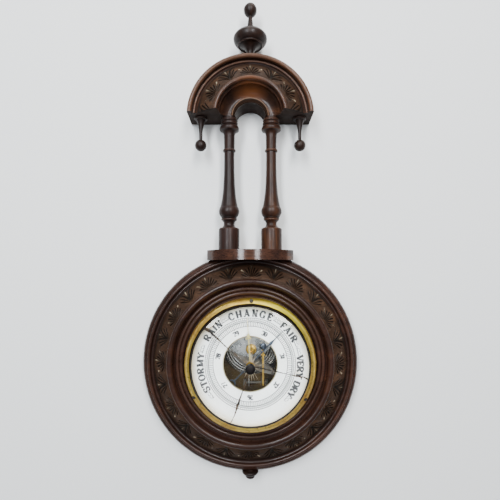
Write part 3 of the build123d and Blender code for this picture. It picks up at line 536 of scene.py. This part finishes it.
def flute(s, t, lean, start, end, width):
    """Depth at (s, t) of a V cut from the origin that starts thin and widens to a rounded end."""
    along = s * sin(lean) + t * cos(lean)
    f = (along - start) / (end - start)
    if not 0 < f < 1:
        return 0.0
    half = width * (0.25 + 0.75 * f) * min(1.0, 4 * (1 - f)) ** 0.5
    return max(0.0, 1 - abs(s * cos(lean) - t * sin(lean)) / half)


def wedge(s, t, low, top, width):
    """How far inside a wedge that opens from low to top a point lies, and how far up it."""
    f = (t - low) / (top - low)
    if not 0 < f < 1:
        return 0.0, 0.0
    return max(0.0, 1 - abs(s) / (width * f + 0.05)), f


def carve(s, t, pitch, height, reach):
    """(depth, hollow, nick, ground) of the carving, s along the band and t out from the bead.

    Fans of flutes stand on the bead midway between drilled knots, a stem with side leaves rises
    from each knot, and pointed arches cross over each fan. reach is where a flute starts and ends,
    as shares of the height. hollow is painted shade in the cuts, nick a pale fresh cut and ground the dark
    edge."""
    half = pitch / 2
    s = (s + half) % pitch - half
    knot = s - half if s > 0 else s + half
    start, end = (f * height for f in reach)
    cut, nick = 0.0, 0.0
    for i in range(-5, 6):
        lean = radians(16 * i)
        cut = max(cut, flute(s, t, lean, start, end * (1 - 0.02 * abs(i)), 0.08 * height))
        if i in (-3, 3):
            across, along = s * cos(lean) - t * sin(lean), s * sin(lean) + t * cos(lean)
            chip, rise = wedge(across, along, 0.55 * end, 1.12 * end, 0.05 * height)
            nick = max(nick, min(1.0, 2.2 * chip) * rise**2)
    for i in (-3, -2, -1, 1, 2, 3):
        bent = knot - 0.06 * height * i * (t / height) ** 2
        tip = (0.98 - 0.05 * abs(i)) * height
        cut = max(cut, flute(bent, t, radians(15 * i), 0.12 * height, tip, 0.07 * height))
    cut = max(cut, flute(knot, t, 0, 0.02 * height, 0.66 * height, 0.058 * height))
    for centre, low, top in ((s, 0.40, 0.93), (knot, 0.42, 0.95)):
        inside, f = wedge(centre, t, low * height, top * height, 0.115 * height)
        if inside > 0:
            cut = max(cut, 1.3 * f * min(1.0, 3 * inside))
            nick = max(nick, min(1.0, 3.0 * (inside - 0.35)) * (1.0 if f < 0.88 else 0.2) * f**1.5)
    radius = (height**2 + (0.62 * pitch) ** 2) / (1.24 * pitch)
    if t > 0.1 * height:
        for foot in (knot - pitch, knot, knot + pitch):
            for way in (-1, 1):
                if 0 < foot * way < radius:
                    line = abs(hypot(foot - way * radius, t) - radius)
                    cut = max(cut, 0.95 * max(0.0, 1 - line / (0.065 * height)))
    drill = hypot(knot, t - 0.03 * height) / (0.09 * height)
    if drill < 1:
        cut = max(cut, 1.4 * min(1.0, 3 * (1 - drill)))
    ground = min(1.0, max(0.0, (t / height - 0.84 - 0.06 * cos(2 * pi * s / pitch)) * 9))
    return cut, min(1.0, 2.4 * cut) * (1 - nick), nick, ground


def frieze(name, surface, z, first_knot, pitch_angle, reach, relief, rows, columns, start, end):
    """A carved band between two radii, from one clockwise angle to another, with a plain back.

    start and end give the band's first and last angle at a radius, so a straight cut is possible.
    first_knot is the angle of one drilled knot, and pitch_angle the step from knot to knot."""
    points, faces = [], []
    marks = {"hollow_shade": [], "nick": [], "ground": [], "edge": []}

    def mark(*values):
        for key, value in zip(marks, values):
            marks[key].append(value)

    r_in, r_out = surface[0][0], surface[-1][0]
    whole = end(r_in) - start(r_in) > 359
    height = r_out - r_in
    middle = (r_in + r_out) / 2
    place = facing(z)
    around = columns if whole else columns + 1
    for i in range(rows + 1):
        r = r_in + height * i / rows
        top = sloped(surface, r)
        for j in range(around):
            angle = start(r) + (end(r) - start(r)) * j / columns
            s = radians(angle - first_knot - pitch_angle / 2) * middle
            cut, hollow_shade, nick, ground = carve(s, r - r_in, radians(pitch_angle) * middle, height, reach)
            rim = min(1.0, 4.0 * min(i, rows - i) / rows)
            ripple = 0.12 * noise.noise(Vector((s * 0.35, r * 0.35, 3.0)))
            chip = 0.75 + 0.35 * noise.noise(Vector((s * 0.11, r * 0.1, 8.0)))
            points.append(place(r, top - relief * chip * cut * rim + ripple * rim, angle))
            pale = min(1.0, max(0.0, 0.45 + 1.7 * noise.noise(Vector((angle * 0.9, i * 0.02, 5.0)))))
            # The second mark is painted shade in the cuts.
            mark(hollow_shade * rim, nick * rim * pale, ground, 0.12 if rim == 1 else 0.0)
    front = len(points)
    for r in (r_in, r_out):
        for j in range(around):
            angle = start(r) + (end(r) - start(r)) * j / columns
            points.append(place(r, sloped(surface, r) - BED, angle))
            mark(0.0, 0.0, 0.0, 0.0)
    rings = [[i * around + j for j in range(around)] for i in range(rows + 1)]
    rings += [[front + around + j for j in range(around)], [front + j for j in range(around)]]
    for i, ring in enumerate(rings):
        ahead = rings[(i + 1) % len(rings)]
        for j in range(columns):
            k = (j + 1) % around
            faces.append((ring[j], ring[k], ahead[k], ahead[j]))
    if not whole:
        faces.append([ring[0] for ring in rings])
        faces.append([ring[-1] for ring in reversed(rings)])
    made = piece(name, points, faces, FRIEZE_WOOD, crease=60, marks=marks)
    if not whole:
        darken(made, 2)


def darken(made, count):
    """Gives the last faces of a piece the dark unpolished wood, dark partly as painted shade."""
    made.data.materials.append(UNDER_SHADE_WOOD)
    for polygon in list(made.data.polygons)[-count:]:
        polygon.material_index = 1


coarse = 1
frieze(
    "ring_carving", RING_FRIEZE, z=0, first_knot=15.8, pitch_angle=30, reach=(0.13, 0.84), relief=1.7,
    rows=48 // coarse, columns=1440 // coarse, start=lambda r: 0.0, end=lambda r: 360.0,
)

# ---- pediment -----------------------------------------------------------------------------
ARCH_CUT = 268.6  # the flat underside of the arch
ARCH_IN = 39.6  # the carved band of the arch
ARCH_OUT = 57.8


def cut_angle(r):
    """Clockwise angle at which a circle of the arch meets its flat underside."""
    return 90 - atan2(ARCH_CUT - ARCH_Z, (r**2 - (ARCH_CUT - ARCH_Z) ** 2) ** 0.5) * 180 / pi


ARCH_FRIEZE = outline((ARCH_IN, 43.8), ((48.6, 39.8), (ARCH_OUT, 33.2)))
# Points close to a long side's corners keep the wear of the corner from spreading along that side.
arch_profile = outline(
    (17.6, 26.2), (17.6, 0.8), (17.6, 0), (68.9, 0), (68.9, 0.8), (68.9, 34.8), (68.9, 35.6),
    ((67.2, 38.0), (64.0, 34.2)), (63.6, 32.2), (62.8, 32.2), ((61.6, 33.4), (60.4, 32.2)), (59.6, 31.6),
    (ARCH_OUT, 33.2), (ARCH_OUT, 33.2 - BED), (ARCH_IN, 43.8 - BED), (ARCH_IN, 43.8),
    ((37.4, 45.8), (35.4, 43.4)), (35.2, 40.0), (33.8, 38.8), ((31.2, 28.4), (24.6, 24.4)),
    ((20.6, 25.4), (18.6, 27.6)), (17.6, 26.8), step=0.4,
)


def arch_body():
    """The half ring under its carving, cut flat below."""
    points, faces, edge = [], [], []
    steps = 200
    place = facing(ARCH_Z)
    for (r, d), w in zip(arch_profile, wear_along(arch_profile)):
        for j in range(steps + 1):
            points.append(place(r, d, cut_angle(r) * (2 * j / steps - 1)))
            edge.append(max(w, 0.7) if j in (0, steps) and d > 15 and w > -0.2 else w)
    count = len(arch_profile)
    for i in list(range(1, count)) + [0]:
        for j in range(steps):
            a = i * (steps + 1) + j
            b = (i + 1) % count * (steps + 1) + j
            faces.append((a, a + 1, b + 1, b))
    faces.append([i * (steps + 1) for i in range(count)])
    faces.append([i * (steps + 1) + steps for i in reversed(range(count))])
    marks = {"edge": edge}
    made = piece("pediment_mouldings", points, faces, ARCH_WOOD, stands_for=["pediment"], marks=marks)
    darken(made, steps + 2)


arch_body()
frieze(
    "pediment_carving", ARCH_FRIEZE, z=ARCH_Z, first_knot=30, pitch_angle=60, reach=(0.20, 0.80), relief=1.4,
    rows=56 // coarse, columns=560 // coarse, start=lambda r: -cut_angle(r), end=cut_angle,
)

# ---- turned columns, drops and finial -----------------------------------------------------
column_profile = outline(
    (0, 119.6), (11.4, 119.6), (11.4, 142.2), ((11.0, 143.4), (10.2, 144.0)), (8.2, 144.6),
    ((5.9, 149.4), (8.0, 152.4)), ((8.7, 153.4), (8.2, 154.4)), (9.0, 155.4), ((8.4, 156.0), (9.0, 156.6)),
    ((11.1, 160.6), (9.7, 167.6)), ((7.9, 177.0), (6.6, 189.0)), ((5.9, 205.0), (5.7, 229.2)),
    ((7.2, 230.8), (5.8, 232.4)), (6.0, 248), ((7.4, 251.6), (10.4, 253.6)), ((10.8, 256.4), (8.6, 259.0)),
    ((9.6, 261.4), (8.6, 263.4)), ((9.3, 265.2), (8.0, 266.8)), (8.0, ARCH_CUT), (0, ARCH_CUT),
)
BALL_R, BALL_Z = 6.45, 237.0
drop_profile = outline(
    (0, ARCH_CUT), (6.6, ARCH_CUT), (7.3, 267.8), ((7.2, 266.6), (5.2, 265.8)), ((3.2, 259.5), (1.9, 250.6)),
    (1.8, 243.2), ((BALL_R, BALL_Z), (0, BALL_Z - BALL_R)), step=0.4,
)
for side, way, wood in (("left", -1, LEFT_WOOD), ("right", 1, RIGHT_WOOD)):
    column_place, drop_place = standing(way * COLUMN_X), standing(way * DROP_X)
    turned(f"turned_column_{side}", column_profile, column_place, 96, wood, stands_for=[f"column_{side}"])
    turned(f"turned_drop_{side}", drop_profile, drop_place, 72, DARK_WOOD, stands_for=[f"drop_{side}"])

finial_profile = outline(
    (0, 333.8), (5.2, 333.8), (4.6, 335.4), ((4.4, 345), (12.6, 352.2)), ((13.8, 351.6), (14.6, 352.8)),
    ((18.6, 357), (18.8, 362)), ((13.0, 367.4), (5.2, 369.0)), ((3.2, 377), (2.3, 386.8)),
    ((7.5, 394.2), (0.6, 402.4)), (0, 402.4),
)
turned("turned_finial", finial_profile, standing(0), 96, DARK_WOOD, stands_for=["top_finial"])

# ---- white dial with its printing ---------------------------------------------------------
HOLE_R = 28.8
DIAL_R = 64.2
dial_profile = outline(
    (HOLE_R, 31.0), (DIAL_R, 31.0), (DIAL_R, 31.8), ((64.0, 32.15), (63.6, 32.2)), (62.0, 32.2), (55.0, 32.2),
    (45.0, 32.2), (35.0, 32.2), (29.3, 32.2), ((28.95, 32.1), (HOLE_R, 31.8)),
)
turned("dial_plate", dial_profile, facing(), 240, ENAMEL, stands_for=["dial"], crease=50)

PRINT_LOW, PRINT_HIGH = DIAL_FACE + 0.01, DIAL_FACE + 0.05
ink_points, ink_faces = [], []


def inked(ring):
    """A flat inked shape, closed, from its outline as (radius, clockwise angle) points."""
    first = len(ink_points)
    count = len(ring)
    for depth in (PRINT_LOW, PRINT_HIGH):
        for r, angle in ring:
            x, z = clock(r, angle)
            ink_points.append(at(x, depth, z))
    ink_faces.append([first + count + i for i in range(count)])
    ink_faces.append([first + i for i in reversed(range(count))])
    for i in range(count):
        k = (i + 1) % count
        ink_faces.append((first + i, first + k, first + count + k, first + count + i))


def circle(r, width):
    """An inked circle round the dial's centre, in short closed lengths."""
    steps = 120
    for i in range(steps):
        a, b = 360 * i / steps, 360 * (i + 1) / steps
        inked([(r - width / 2, a), (r - width / 2, b), (r + width / 2, b), (r + width / 2, a)])


def tick(low, high, angle, width):
    """An inked radial line between two radii."""
    half = width / 2 / radians((low + high) / 2)
    inked([(low, angle - half), (low, angle + half), (high, angle + half), (high, angle - half)])


INCH = 51.43  # degrees of dial for one inch of mercury, with 26 at the bottom
INCH_TICK_IN, TICK_IN, SCALE_MIDDLE, HALF_TICK_OUT, SCALE_OUT = 37.6, 38.9, 43.5, 45.4, 47.4
for r, width in ((TICK_IN, 0.60), (SCALE_MIDDLE, 0.70), (HALF_TICK_OUT, 0.45), (SCALE_OUT, 0.60)):
    circle(r, width)
for i in range(280):
    angle = 180 + INCH * (i / 40)
    tick(SCALE_MIDDLE, SCALE_OUT if i % 2 == 0 else HALF_TICK_OUT, angle, 0.38)
    if i % 2 == 0:
        low = INCH_TICK_IN if i % 40 == 0 else TICK_IN
        tick(low, SCALE_MIDDLE, angle, 0.62 if i % 4 == 0 else 0.50)

BOLD, THIN = 0.34, 0.18  # widths of a letter's strokes, as shares of its height


class Pen:
    """Draws serif capitals and figures along the dial's circles."""

    def __init__(self, base, height, angle, weight=1.0):
        self.base = base
        self.height = height
        self.angle = angle
        self.weight = weight

    def put(self, corners):
        """Inks a shape given in letter heights, x along the circle and y outward."""
        middle = self.base + self.height / 2
        ring = []
        for x, y in corners:
            ring.append((self.base + y * self.height, self.angle + x * self.height / radians(middle)))
        inked(ring)

    def bar(self, x0, y0, x1, y1, width=THIN):
        run = hypot(x1 - x0, y1 - y0)
        nx, ny = -(y1 - y0) / run * width * self.weight / 2, (x1 - x0) / run * width * self.weight / 2
        self.put([(x0 + nx, y0 + ny), (x1 + nx, y1 + ny), (x1 - nx, y1 - ny), (x0 - nx, y0 - ny)])

    def foot(self, x, y, width=0.34):
        inside = THIN / 2 if y < 0.5 else -THIN / 2
        self.bar(x - width / 2, y + inside, x + width / 2, y + inside)

    def stem(self, x, y0=0.0, y1=1.0, width=BOLD, feet=True):
        self.bar(x, y0, x, y1, width)
        if feet:
            self.foot(x, y0)
            self.foot(x, y1)

    def bow(self, x, y, rx, ry, first, last, bold=BOLD):
        """Part of an ellipse, thickest at its sides. Angles run anticlockwise from the right."""
        steps = max(4, round(abs(last - first) / 18))
        inner, outer = [], []
        for i in range(steps + 1):
            a = radians(first + (last - first) * i / steps)
            half = (THIN + (bold - THIN) * cos(a) ** 2) * self.weight / 2
            inner.append((x + (rx - half) * cos(a), y + (ry - half) * sin(a)))
            outer.append((x + (rx + half) * cos(a), y + (ry + half) * sin(a)))
        for i in range(steps):
            self.put([inner[i], outer[i], outer[i + 1], inner[i + 1]])


def draw_glyph(pen, x, letter):
    """Draws one character with its left edge at x and returns its width."""
    def bar(x0, y0, x1, y1, width=THIN):
        pen.bar(x + x0, y0, x + x1, y1, width)

    def bow(cx, cy, rx, ry, first, last, bold=BOLD):
        pen.bow(x + cx, cy, rx, ry, first, last, bold)

    if letter == "A":
        bar(0.10, 0, 0.43, 1)
        bar(0.43, 1, 0.78, 0, BOLD)
        bar(0.22, 0.33, 0.66, 0.33)
        pen.foot(x + 0.10, 0)
        pen.foot(x + 0.78, 0)
        return 0.95
    if letter in "CG":
        bow(0.44, 0.5, 0.36, 0.47, 48, 312)
        bar(0.72, 0.64, 0.72, 0.96)
        if letter == "G":
            pen.stem(x + 0.70, 0, 0.42, BOLD, False)
            bar(0.54, 0.42, 0.88, 0.42)
            return 0.94
        bar(0.72, 0.06, 0.72, 0.28)
        return 0.86
    if letter in "DEFRI":
        pen.stem(x + 0.17)
        if letter == "D":
            bow(0.30, 0.5, 0.48, 0.47, -90, 90)
            return 0.92
        if letter == "I":
            return 0.40
        bar(0.17, 0.965, 0.62 if letter != "R" else 0.4, 0.965)
        if letter == "R":
            bow(0.38, 0.75, 0.30, 0.225, -90, 90)
            bar(0.17, 0.525, 0.4, 0.525)
            bar(0.42, 0.52, 0.76, 0, BOLD)
            pen.foot(x + 0.78, 0, 0.26)
            return 0.94
        bar(0.64, 0.72, 0.64, 1)
        bar(0.17, 0.5, 0.46, 0.5)
        bar(0.46, 0.38, 0.46, 0.62)
        if letter == "F":
            return 0.74
        bar(0.17, 0.035, 0.68, 0.035)
        bar(0.68, 0, 0.68, 0.28)
        return 0.80
    if letter in "HN":
        first = BOLD if letter == "H" else THIN
        pen.stem(x + 0.17, width=first)
        pen.stem(x + 0.72, width=first)
        if letter == "H":
            bar(0.17, 0.5, 0.72, 0.5)
        else:
            bar(0.17, 1, 0.72, 0, BOLD)
        return 0.92
    if letter == "M":
        pen.stem(x + 0.14, width=THIN)
        pen.stem(x + 0.88)
        bar(0.14, 1, 0.50, 0.06, BOLD)
        bar(0.50, 0.06, 0.88, 1)
        return 1.06
    if letter == "O":
        bow(0.44, 0.5, 0.36, 0.47, 0, 360)
        return 0.90
    if letter == "S":
        bow(0.38, 0.735, 0.26, 0.235, 20, 270)
        bow(0.38, 0.265, 0.28, 0.235, -160, 90)
        bar(0.62, 0.68, 0.62, 0.96)
        bar(0.12, 0.04, 0.12, 0.34)
        return 0.78
    if letter == "T":
        pen.stem(x + 0.38, feet=False)
        pen.foot(x + 0.38, 0)
        bar(0.02, 0.965, 0.74, 0.965)
        bar(0.03, 0.7, 0.03, 1)
        bar(0.73, 0.7, 0.73, 1)
        return 0.80
    if letter in "VY":
        low = 0.0 if letter == "V" else 0.44
        bar(0.10, 1, 0.43, low, BOLD)
        bar(0.43, low, 0.76, 1)
        pen.foot(x + 0.10, 1)
        pen.foot(x + 0.76, 1)
        if letter == "Y":
            pen.stem(x + 0.43, 0, 0.5, feet=False)
            pen.foot(x + 0.43, 0)
        return 0.88
    if letter == "0":
        bow(0.32, 0.5, 0.24, 0.47, 0, 360)
    if letter == "1":
        pen.stem(x + 0.32, feet=False)
        pen.foot(x + 0.32, 0)
        bar(0.14, 0.8, 0.32, 0.98)
    if letter in "23":
        bow(0.32, 0.74, 0.22, 0.235, -70, 165)
    if letter == "2":
        bar(0.42, 0.54, 0.10, 0.04)
        bar(0.08, 0.05, 0.58, 0.05, 0.12)
    if letter == "3":
        bow(0.32, 0.27, 0.25, 0.245, -155, 80)
    if letter in "689":
        bow(0.32, 0.27 if letter != "9" else 0.73, 0.24, 0.245, 0, 360)
    if letter == "8":
        bow(0.32, 0.75, 0.20, 0.225, 0, 360)
    if letter == "6":
        bow(0.42, 0.42, 0.34, 0.55, 95, 190)
    if letter == "9":
        bow(0.22, 0.58, 0.34, 0.55, -85, 10)
    if letter == "7":
        bar(0.08, 0.95, 0.58, 0.95, 0.12)
        bar(0.56, 0.94, 0.28, 0, 0.15)
    return 0.66 if letter != " " else 0.5


def write(text, base, height, angle, spread=None, weight=1.0):
    """Writes text centred on a clockwise angle. spread is the angle it should fill.

    A first drawing gives the letters' widths, and its ink is taken away again."""
    dry_points, dry_faces = len(ink_points), len(ink_faces)
    widths = [draw_glyph(Pen(base, height, 0), 0, letter) for letter in text]
    del ink_points[dry_points:]
    del ink_faces[dry_faces:]
    total = sum(widths)
    gap = 0.0
    if spread is not None:
        gap = (radians(spread) * (base + height / 2) / height - total) / max(1, len(text) - 1)
    pen = Pen(base, height, angle, weight)
    x = -(total + gap * (len(text) - 1)) / 2
    for letter, width in zip(text, widths):
        draw_glyph(pen, x, letter)
        x += width + gap


WORD_BASE, WORD_HEIGHT = 48.9, 7.0
FIGURE_BASE, FIGURE_HEIGHT = 32.2, 4.5
WORDS = (  # text, the clockwise angle of its middle, and the angle that it fills
    ("STORMY", -100.3, 45.5), ("RAIN", -49, 27), ("CHANGE", 0.6, 52), ("FAIR", 51.5, 25.5),
    ("VERY DRY", 105.5, 50),
)
for text, angle, spread in WORDS:
    write(text, WORD_BASE, WORD_HEIGHT, angle, spread)
for i, figure in enumerate(("27", "28", "29", "30", "31", "32")):
    write(figure, FIGURE_BASE, FIGURE_HEIGHT, INCH * (i - 2.5), weight=1.2)
write("26", FIGURE_BASE, FIGURE_HEIGHT, 180, weight=1.2)
for angle in (-128, -73, -31, 33, 66, 76, 132):
    flourish = Pen(50.8, 3.4, angle, 0.7)
    for way in (-1, 1):
        flourish.bow(way * 0.45, 0.55, 0.42, 0.40, 20, 300, 0.12)
        flourish.bow(way * 1.05, 0.45, 0.22, 0.24, 180, 460, 0.10)
    flourish.bar(-1.3, 0.1, 1.3, 0.1)
piece("dial_printing", ink_points, ink_faces, INK)


# ---- dirt, putty and splinters on the broken glass, with painted shade and glints ---------
def dirt_and_painted_light(name, dark, pale):
    """Patchy colour from nearly black to tan, for dry dirt and for painted shade and glints."""
    s = Shade(name, "window_glass")
    patches = s.noise(170, detail=5)
    s.bump(patches, 0.0003, 0.5)
    return s.finish(s.ramp(patches, (0.38, dark), (0.66, pale)), 0.8)


GRIME = dirt_and_painted_light("dirt_and_painted_light", (0.006, 0.004, 0.0025), (0.075, 0.043, 0.018))
# Near black, so that the putty under the bezel's lip also paints the shadow there.
PUTTY_AND_SHADE = dirt_and_painted_light("putty_and_shade", (0.006, 0.005, 0.004), (0.020, 0.014, 0.009))
# Pale tan crushed glass, which also paints the glints round the bush.
GLASS_DUST_AND_GLINT = dirt_and_painted_light("glass_dust_and_glint", (0.10, 0.075, 0.045), (0.34, 0.29, 0.20))
GLASS_FACE = 43.0  # front of the pane
CRACKS = (  # points of each crack, as radius, clockwise angle and width of its dirt
    (
        (5, -52, 1.0), (30, -52, 0.8), (44, -50.6, 1.4), (50, -50, 2.0), (54, -50, 2.6), (57, -50.4, 3.4),
        (61, -50.6, 5.2),
    ),
    (
        (5, 99, 1.6), (16, 101, 1.1), (28, 101.5, 0.9), (40, 102, 0.6), (48, 102, 1.3), (56, 101.5, 1.3),
        (61, 102.8, 1.7),
    ),
    (
        (5, 196, 1.3), (18, 196, 1.2), (30, 197.5, 1.2), (36, 198, 1.8), (42, 198.5, 2.3), (47, 198, 1.4),
        (52, 198, 0.7), (61, 199.5, 0.6),
    ),
)


def crack_dirt():
    """Ragged ribbons of dirt along the cracks, in the gap and lying on the pane."""
    points, faces = [], []
    for crack in CRACKS:
        line = []
        for (r0, a0, w0), (r1, a1, w1) in zip(crack, crack[1:]):
            steps = max(2, round(r1 - r0) * 2)
            for i in range(steps):
                f = i / steps
                x0, z0 = clock(r0, a0)
                x1, z1 = clock(r1, a1)
                line.append((x0 + (x1 - x0) * f, z0 + (z1 - z0) * f, w0 + (w1 - w0) * f))
        x, z = clock(*crack[-1][:2])
        line.append((x, z, crack[-1][2]))
        first = len(points)
        for i, (x, z, width) in enumerate(line):
            ahead, behind = line[min(i + 1, len(line) - 1)], line[max(i - 1, 0)]
            run = hypot(ahead[0] - behind[0], ahead[1] - behind[1])
            nx, nz = (ahead[1] - behind[1]) / run, (behind[0] - ahead[0]) / run
            rag = 1 + 0.7 * noise.noise(Vector((x * 0.6, z * 0.6, 1.0)))
            lean = 0.25 * noise.noise(Vector((x * 0.4, z * 0.4, 7.0)))
            for side in (lean - rag * width / 2, lean + rag * width / 2):
                for depth in (GLASS_FACE - 0.4, GLASS_FACE + 0.12):
                    points.append(at(x + nx * side, depth, z + nz * side))
        for i in range(len(line) - 1):
            a, b = first + 4 * i, first + 4 * (i + 1)
            for p, q in ((0, 1), (1, 3), (3, 2), (2, 0)):
                faces.append((a + p, b + p, b + q, a + q))
        last = first + 4 * (len(line) - 1)
        faces += [(first, first + 1, first + 3, first + 2), (last, last + 2, last + 3, last + 1)]
    piece("crack_dirt", points, faces, GRIME)


crack_dirt()

SPLINTERS = (  # clockwise angle, far radius, half width beside the knob
    (-52, 15, 0.9), (-38, 11, 1.0), (8, 15, 1.5), (28, 12, 1.2), (62, 11, 1.2), (84, 17, 1.1), (112, 14, 0.9),
    (150, 23, 0.35), (163, 15, 1.0), (174, 16, 0.9), (186, 14, 0.9), (208, 13, 1.0), (232, 9, 0.7),
)
SPLINTER_FOOT = 4.4  # radius at which the splinters start, beside the knob


def crushed_glass():
    """Splinters and dust of the pane round the bush, each a thin pointed sliver, pale so that it also paints
    glints.
    """
    points, faces = [], []
    for i, (angle, far, half) in enumerate(SPLINTERS):
        first = len(points)
        spread = half / radians(SPLINTER_FOOT)
        corners = (
            (SPLINTER_FOOT, angle - spread), (0.6 * far, angle - 0.22 * spread), (far, angle),
            (SPLINTER_FOOT, angle + spread),
        )
        for depth in (GLASS_FACE + 0.02, GLASS_FACE + 0.14 + 0.01 * (i % 3)):
            for r, a in corners:
                x, z = clock(r, a)
                points.append(at(x, depth, z))
        faces.append((first, first + 1, first + 2, first + 3))
        faces.append((first + 7, first + 6, first + 5, first + 4))
        for j in range(4):
            k = (j + 1) % 4
            faces.append((first + k, first + j, first + 4 + j, first + 4 + k))
    piece("crushed_glass", points, faces, GLASS_DUST_AND_GLINT)


crushed_glass()
# A ring of putty under the bezel's lip, near black so that it also paints the lip's shadow.
lip_profile = outline(
    (59.9, GLASS_FACE - 0.55), (60.2, GLASS_FACE + 0.2), ((60.7, GLASS_FACE + 0.6), (61.4, GLASS_FACE + 0.7)),
    (61.4, GLASS_FACE - 0.35),
)
turned("lip_putty_and_shade", lip_profile, facing(), 200, PUTTY_AND_SHADE)

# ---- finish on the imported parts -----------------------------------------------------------
FINISHES = {
    SHELF_WOOD: ["shelf"],
    DARK_WOOD: ["bottom_drop"],
    BEZEL_BRASS: ["bezel"],
    DRUM_BRASS: ["case_cup", "glass_ring"],
    GLASS: ["glass_upper", "glass_lower", "glass_left"],
    WORKS_BRASS: ["capsule_nut", "main_lever", "glass_bush", "dial_pillars", "capsule_stud", "capsule_post"],
    BASE_BRASS: ["base_plate"],
    HAND_BRASS: ["set_hand"],
    KNOB_DARK: ["set_knob"],
    BLUED: ["indicating_hand", "lever_post"],
    STEEL: [
        "mainspring", "adjusting_screw", "lever_link", "hairspring", "chain", "hand_arbor", "hanger_plate",
    ],
    GREY_STEEL: [
        "arbor_plate", "arbor_bridge", "arbor_pillars", "arbor_spacers", "rocker_posts", "rocking_shaft",
        "spring_bridge", "hairspring_stud",
    ],
    RIM_BRASS: ["dial_centre_rim"],
    SCREW_STEEL: [
        "hanger_screws", "shelf_screws", "bezel_screws", "spring_bridge_screws", "spring_screws",
        "arbor_bridge_screws", "base_screws",
    ],
    CAPSULE: ["capsule_upper", "capsule_lower"],
}
for material, nodes in FINISHES.items():
    for node in nodes:
        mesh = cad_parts[node].data
        mesh.materials.clear()
        mesh.materials.append(material)

# ---- wall, light and camera ---------------------------------------------------------------
WALL_REACH = 4.0  # metres to each side, so that it fills the picture
WALL_BEHIND = 0.0006  # metres behind the plane that the back rests on

wall_paint = bpy.data.materials.new("wall_paint")
wall_paint.use_nodes = True
wall_nodes = wall_paint.node_tree.nodes
wall_links = wall_paint.node_tree.links
plaster = wall_nodes["Principled BSDF"]
plaster.inputs["Base Color"].default_value = (0.87, 0.88, 0.87, 1)
plaster.inputs["Roughness"].default_value = 0.7
side_seen = wall_nodes.new("ShaderNodeNewGeometry")
clear = wall_nodes.new("ShaderNodeBsdfTransparent")
one_sided = wall_nodes.new("ShaderNodeMixShader")
wall_links.new(side_seen.outputs["Backfacing"], one_sided.inputs[0])
wall_links.new(plaster.outputs[0], one_sided.inputs[1])
wall_links.new(clear.outputs[0], one_sided.inputs[2])
wall_links.new(one_sided.outputs[0], wall_nodes["Material Output"].inputs["Surface"])

wall_mesh = bpy.data.meshes.new("wall")
wall_corners = [(-1, -1), (1, -1), (1, 1), (-1, 1)]
wall_points = [(x * WALL_REACH, WALL_BEHIND, z * WALL_REACH) for x, z in wall_corners]
wall_mesh.from_pydata(wall_points, [], [(0, 1, 2, 3)])
wall_mesh.materials.append(wall_paint)
wall = bpy.data.objects.new("wall", wall_mesh)
bpy.context.scene.collection.objects.link(wall)
wall.visible_shadow = False


def soft_light(name, place, target, width, height, power, colour):
    """A large lamp. Its place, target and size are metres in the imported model's frame."""
    lamp = bpy.data.lights.new(name, "AREA")
    lamp.shape = "RECTANGLE"
    lamp.size = width
    lamp.size_y = height
    lamp.energy = power
    lamp.color = colour
    made = bpy.data.objects.new(name, lamp)
    made.location = place
    made.rotation_euler = (Vector(target) - Vector(place)).to_track_quat("-Z", "Y").to_euler()
    bpy.context.scene.collection.objects.link(made)


soft_light("window_left", (-0.48, -1.3, 0.38), (0, 0, -0.15), 0.30, 1.2, 30, (0.92, 0.96, 1.0))
soft_light("window_right", (0.36, -1.3, 0.40), (0, 0, -0.15), 0.24, 1.2, 25, (0.97, 0.98, 1.0))
soft_light("ceiling", (0.1, -0.45, 1.6), (0, 0, -0.2), 1.6, 1.0, 20, (1.0, 0.97, 0.92))
soft_light("low_glow", (-0.25, -1.1, -0.95), (0, 0, -0.3), 0.6, 0.3, 1.2, (0.75, 0.85, 1.0))
soft_light("back_fill", (0.6, 1.6, 0.6), (0, 0, -0.2), 1.2, 1.2, 26, (1.0, 0.98, 0.95))

world = bpy.data.worlds.new("studio")
bpy.context.scene.world = world
world.use_nodes = True
background = world.node_tree.nodes["Background"]
background.inputs["Color"].default_value = (0.88, 0.91, 0.95, 1)
background.inputs["Strength"].default_value = 0.22

CAMERA_X = -0.3
CAMERA_DISTANCE = 431.05  # from the wall
CAMERA_HEIGHT = 95.6  # above the dial's centre
CAMERA_TILT = 3.38  # degrees upward from level
camera = bpy.data.objects.new("camera", bpy.data.cameras.new("camera"))
camera.data.sensor_width = 36
camera.data.lens = 27
camera.data.clip_start = 0.01
camera.location = at(CAMERA_X, CAMERA_DISTANCE, CAMERA_HEIGHT)
camera.rotation_euler = (radians(90 + CAMERA_TILT), 0, 0)
bpy.context.scene.collection.objects.link(camera)
bpy.context.scene.camera = camera
